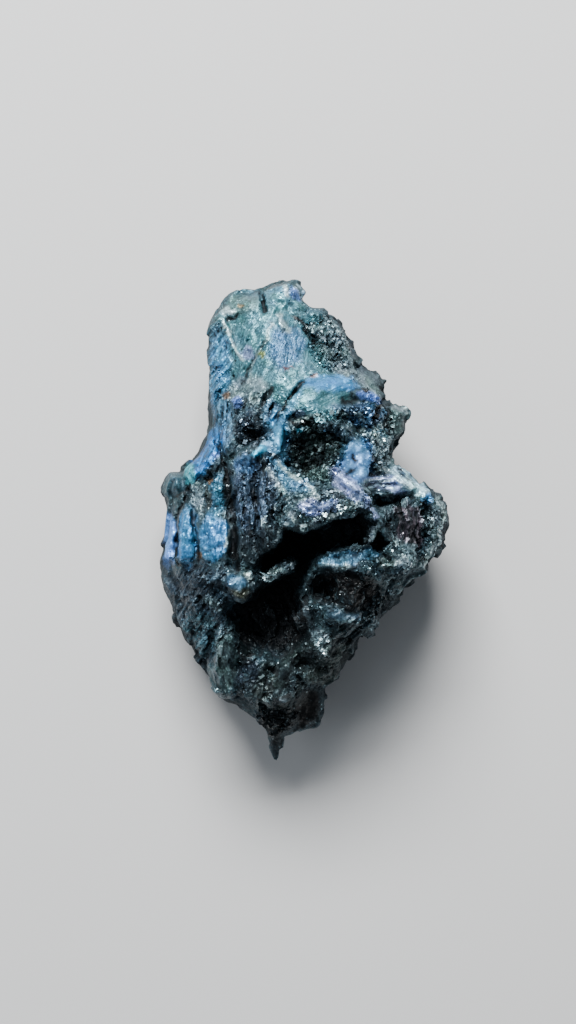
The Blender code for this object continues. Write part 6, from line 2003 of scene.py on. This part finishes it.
        # Some of the fine crystals flash, fewer of them down in hollows
        flash_from = wiring.span(sugary, 0.0, 1.0, 1.0 - self.glint[0], 1.0 - self.glint[1])
        flash = wiring.math("GREATER_THAN", fine.outputs["Chance"], flash_from)
        flash = wiring.times(flash, wiring.span(hollow, 0.2, 0.7, 1.0, 0.1))
        colour = wiring.mix(wiring.times(flash, 0.8), colour, wiring.brighter(tarnish_and_painted_light, 3.5, GLINT_GAIN))
        wiring.feed(shader.inputs["Base Color"], colour)

        rough = wiring.math("MULTIPLY_ADD", deep, 0.4, self.roughness)
        wiring.feed(shader.inputs["Roughness"], wiring.times(rough, wiring.span(flash, 0.0, 1.0, 1.0, 0.45)))
        shader.inputs["Metallic"].default_value = self.metallic
        relief = {"Height": wiring.times(line_height, line_strength), "Normal": fine.outputs["Normal"]}
        bump = wiring.add("ShaderNodeBump", {"Strength": 0.8, "Distance": LINE_DEPTH, **relief})
        wiring.feed(shader.inputs["Normal"], bump.outputs["Normal"])
        return material


LUMP_FINISH = OreFinish("tarnished_ore_face", 0.16, (0.34, 0.8), (0.015, 0.10), 0.42, 0.6)
CRYSTAL_FINISH = OreFinish("sugary_crystals", 0.25, (0.15, 0.3), (0.02, 0.12), 0.30, 0.7)


@dataclass(frozen=True)
class Lamp:
    """A soft lamp that faces the lump: name, place and size in metres, power in watts, colour."""

    name: str
    place: tuple[float, float, float]
    size: Place
    watts: float
    colour: Colour

    def build(self) -> None:
        """Hangs the lamp."""
        data = bpy.data.lights.new(self.name, "AREA")
        data.shape = "RECTANGLE"
        data.size, data.size_y = self.size
        data.energy = self.watts
        data.color = self.colour
        lamp = bpy.data.objects.new(self.name, data)
        lamp.location = self.place
        lamp.rotation_euler = (Vector((0.0, 0.0, 0.01)) - lamp.location).to_track_quat("-Z", "Y").to_euler()
        bpy.context.scene.collection.objects.link(lamp)


@dataclass
class Studio:
    """A pale floor, soft light and a camera that looks straight down, in metres.

    Attributes:
        aim: The place in the plan that the picture's middle looks at.
        edge_level: How high the lump's edge lies.
        reach: How high over the edge the camera stands.
        field: The height of the view at the edge.
        sensor: The width of the camera's sensor, in millimetres.
        lamps: The lamps.
        sky: The colour of the light from all round.
        sky_strength: Its strength.
    """

    aim: Place = (-0.0019, 0.0011)
    edge_level: float = 0.009
    reach: float = 0.32
    field: float = 0.1205
    sensor: float = 36.0
    lamps: tuple[Lamp, ...] = (
        Lamp("window", (-0.07, 0.38, 0.33), (0.32, 0.20), 8.0, (1.0, 0.99, 0.97)),
        Lamp("fill", (-0.45, -0.05, 0.35), (0.4, 0.4), 0.7, (0.92, 0.96, 1.0)),
    )
    sky: Paint = (0.85, 0.92, 1.0, 1.0)
    sky_strength: float = 0.20

    def lay_floor(self) -> None:
        """Lays the floor."""
        bpy.ops.mesh.primitive_plane_add(size=3.0)
        floor = bpy.context.object
        floor.name = "floor"
        material = bpy.data.materials.new("pale_floor")
        material.use_nodes = True
        shader = material.node_tree.nodes["Principled BSDF"]
        shader.inputs["Base Color"].default_value = (0.62, 0.63, 0.64, 1.0)
        shader.inputs["Roughness"].default_value = 0.8
        floor.data.materials.append(material)

    def set_camera(self) -> None:
        """Sets up the camera."""
        data = bpy.data.cameras.new("camera")
        data.sensor_fit = "AUTO"
        data.sensor_width = self.sensor
        data.lens = self.sensor * self.reach / self.field
        eye = bpy.data.objects.new("camera", data)
        eye.location = (*self.aim, self.edge_level + self.reach)
        bpy.context.scene.collection.objects.link(eye)
        bpy.context.scene.camera = eye

    def build(self) -> None:
        """Builds the studio."""
        self.lay_floor()
        self.set_camera()
        for lamp in self.lamps:
            lamp.build()
        world = bpy.data.worlds.new("studio")
        world.use_nodes = True
        background = world.node_tree.nodes["Background"]
        background.inputs["Color"].default_value = self.sky
        background.inputs["Strength"].default_value = self.sky_strength
        bpy.context.scene.world = world


def into_frame(points: Array) -> Matrix:
    """Finds how a lump in millimetres is moved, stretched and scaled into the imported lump's box.

    Args:
        points: The lump's points.

    Returns:
        The transform from the lump's millimetres to the frame's metres.
    """
    low, high = points.min(axis=0), points.max(axis=0)
    box_low, box_high = (np.array(corner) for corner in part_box(NODE))
    scale = (box_high - box_low) / (high - low)
    shift = box_low - low * scale
    return Matrix.Translation(Vector(shift)) @ Matrix.Diagonal((*scale, 1.0))


def shade_smooth_where(mesh: bpy.types.Mesh, smooth: Array) -> None:
    """Shades a mesh's triangles smooth where most of their corners are, and flat elsewhere."""
    mesh.polygons.foreach_set("use_smooth", smooth[corners_of(mesh)].mean(axis=1) > 0.5)


def finish_piece(piece: bpy.types.Object, material: bpy.types.Material, fit: Matrix) -> None:
    """Brings a piece into the frame and gives it its material and body.

    Args:
        piece: The piece, in millimetres.
        material: Its material.
        fit: The transform into the frame.
    """
    piece.data.transform(fit)
    piece.data.materials.append(material)
    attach(piece, "root")
    log.info("%s: %d triangles", piece.name, len(piece.data.polygons))


def main() -> None:
    """Builds the lump, its crust and the studio."""
    logging.basicConfig(level=logging.INFO)
    noise.seed_set(NOISE_SEED)
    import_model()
    bpy.ops.object.select_all(action="DESELECT")

    lump = OreLump().build()
    points, normals = points_of(lump.data), points_of(lump.data, "normal")
    markings = Markings()
    markings.survey(points)
    markings.write(lump.data, points, normals, markings.crest(lump.data, points, normals))
    shade_smooth_where(lump.data, zone_strength(points[:, 0], points[:, 1], SMOOTH) > 0.3)
    crust, feet = CrystalCrust().build(points, normals)
    markings.write(crust.data, points[feet], normals[feet], np.zeros(len(feet)))

    facets, striae, fit = facet_group(), striae_group(), into_frame(points)
    for piece, finish in ((lump, LUMP_FINISH), (crust, CRYSTAL_FINISH)):
        finish_piece(piece, finish.material(facets, striae), fit)
    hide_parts(NODE)
    Studio().build()


if __name__ == "__main__":
    main()
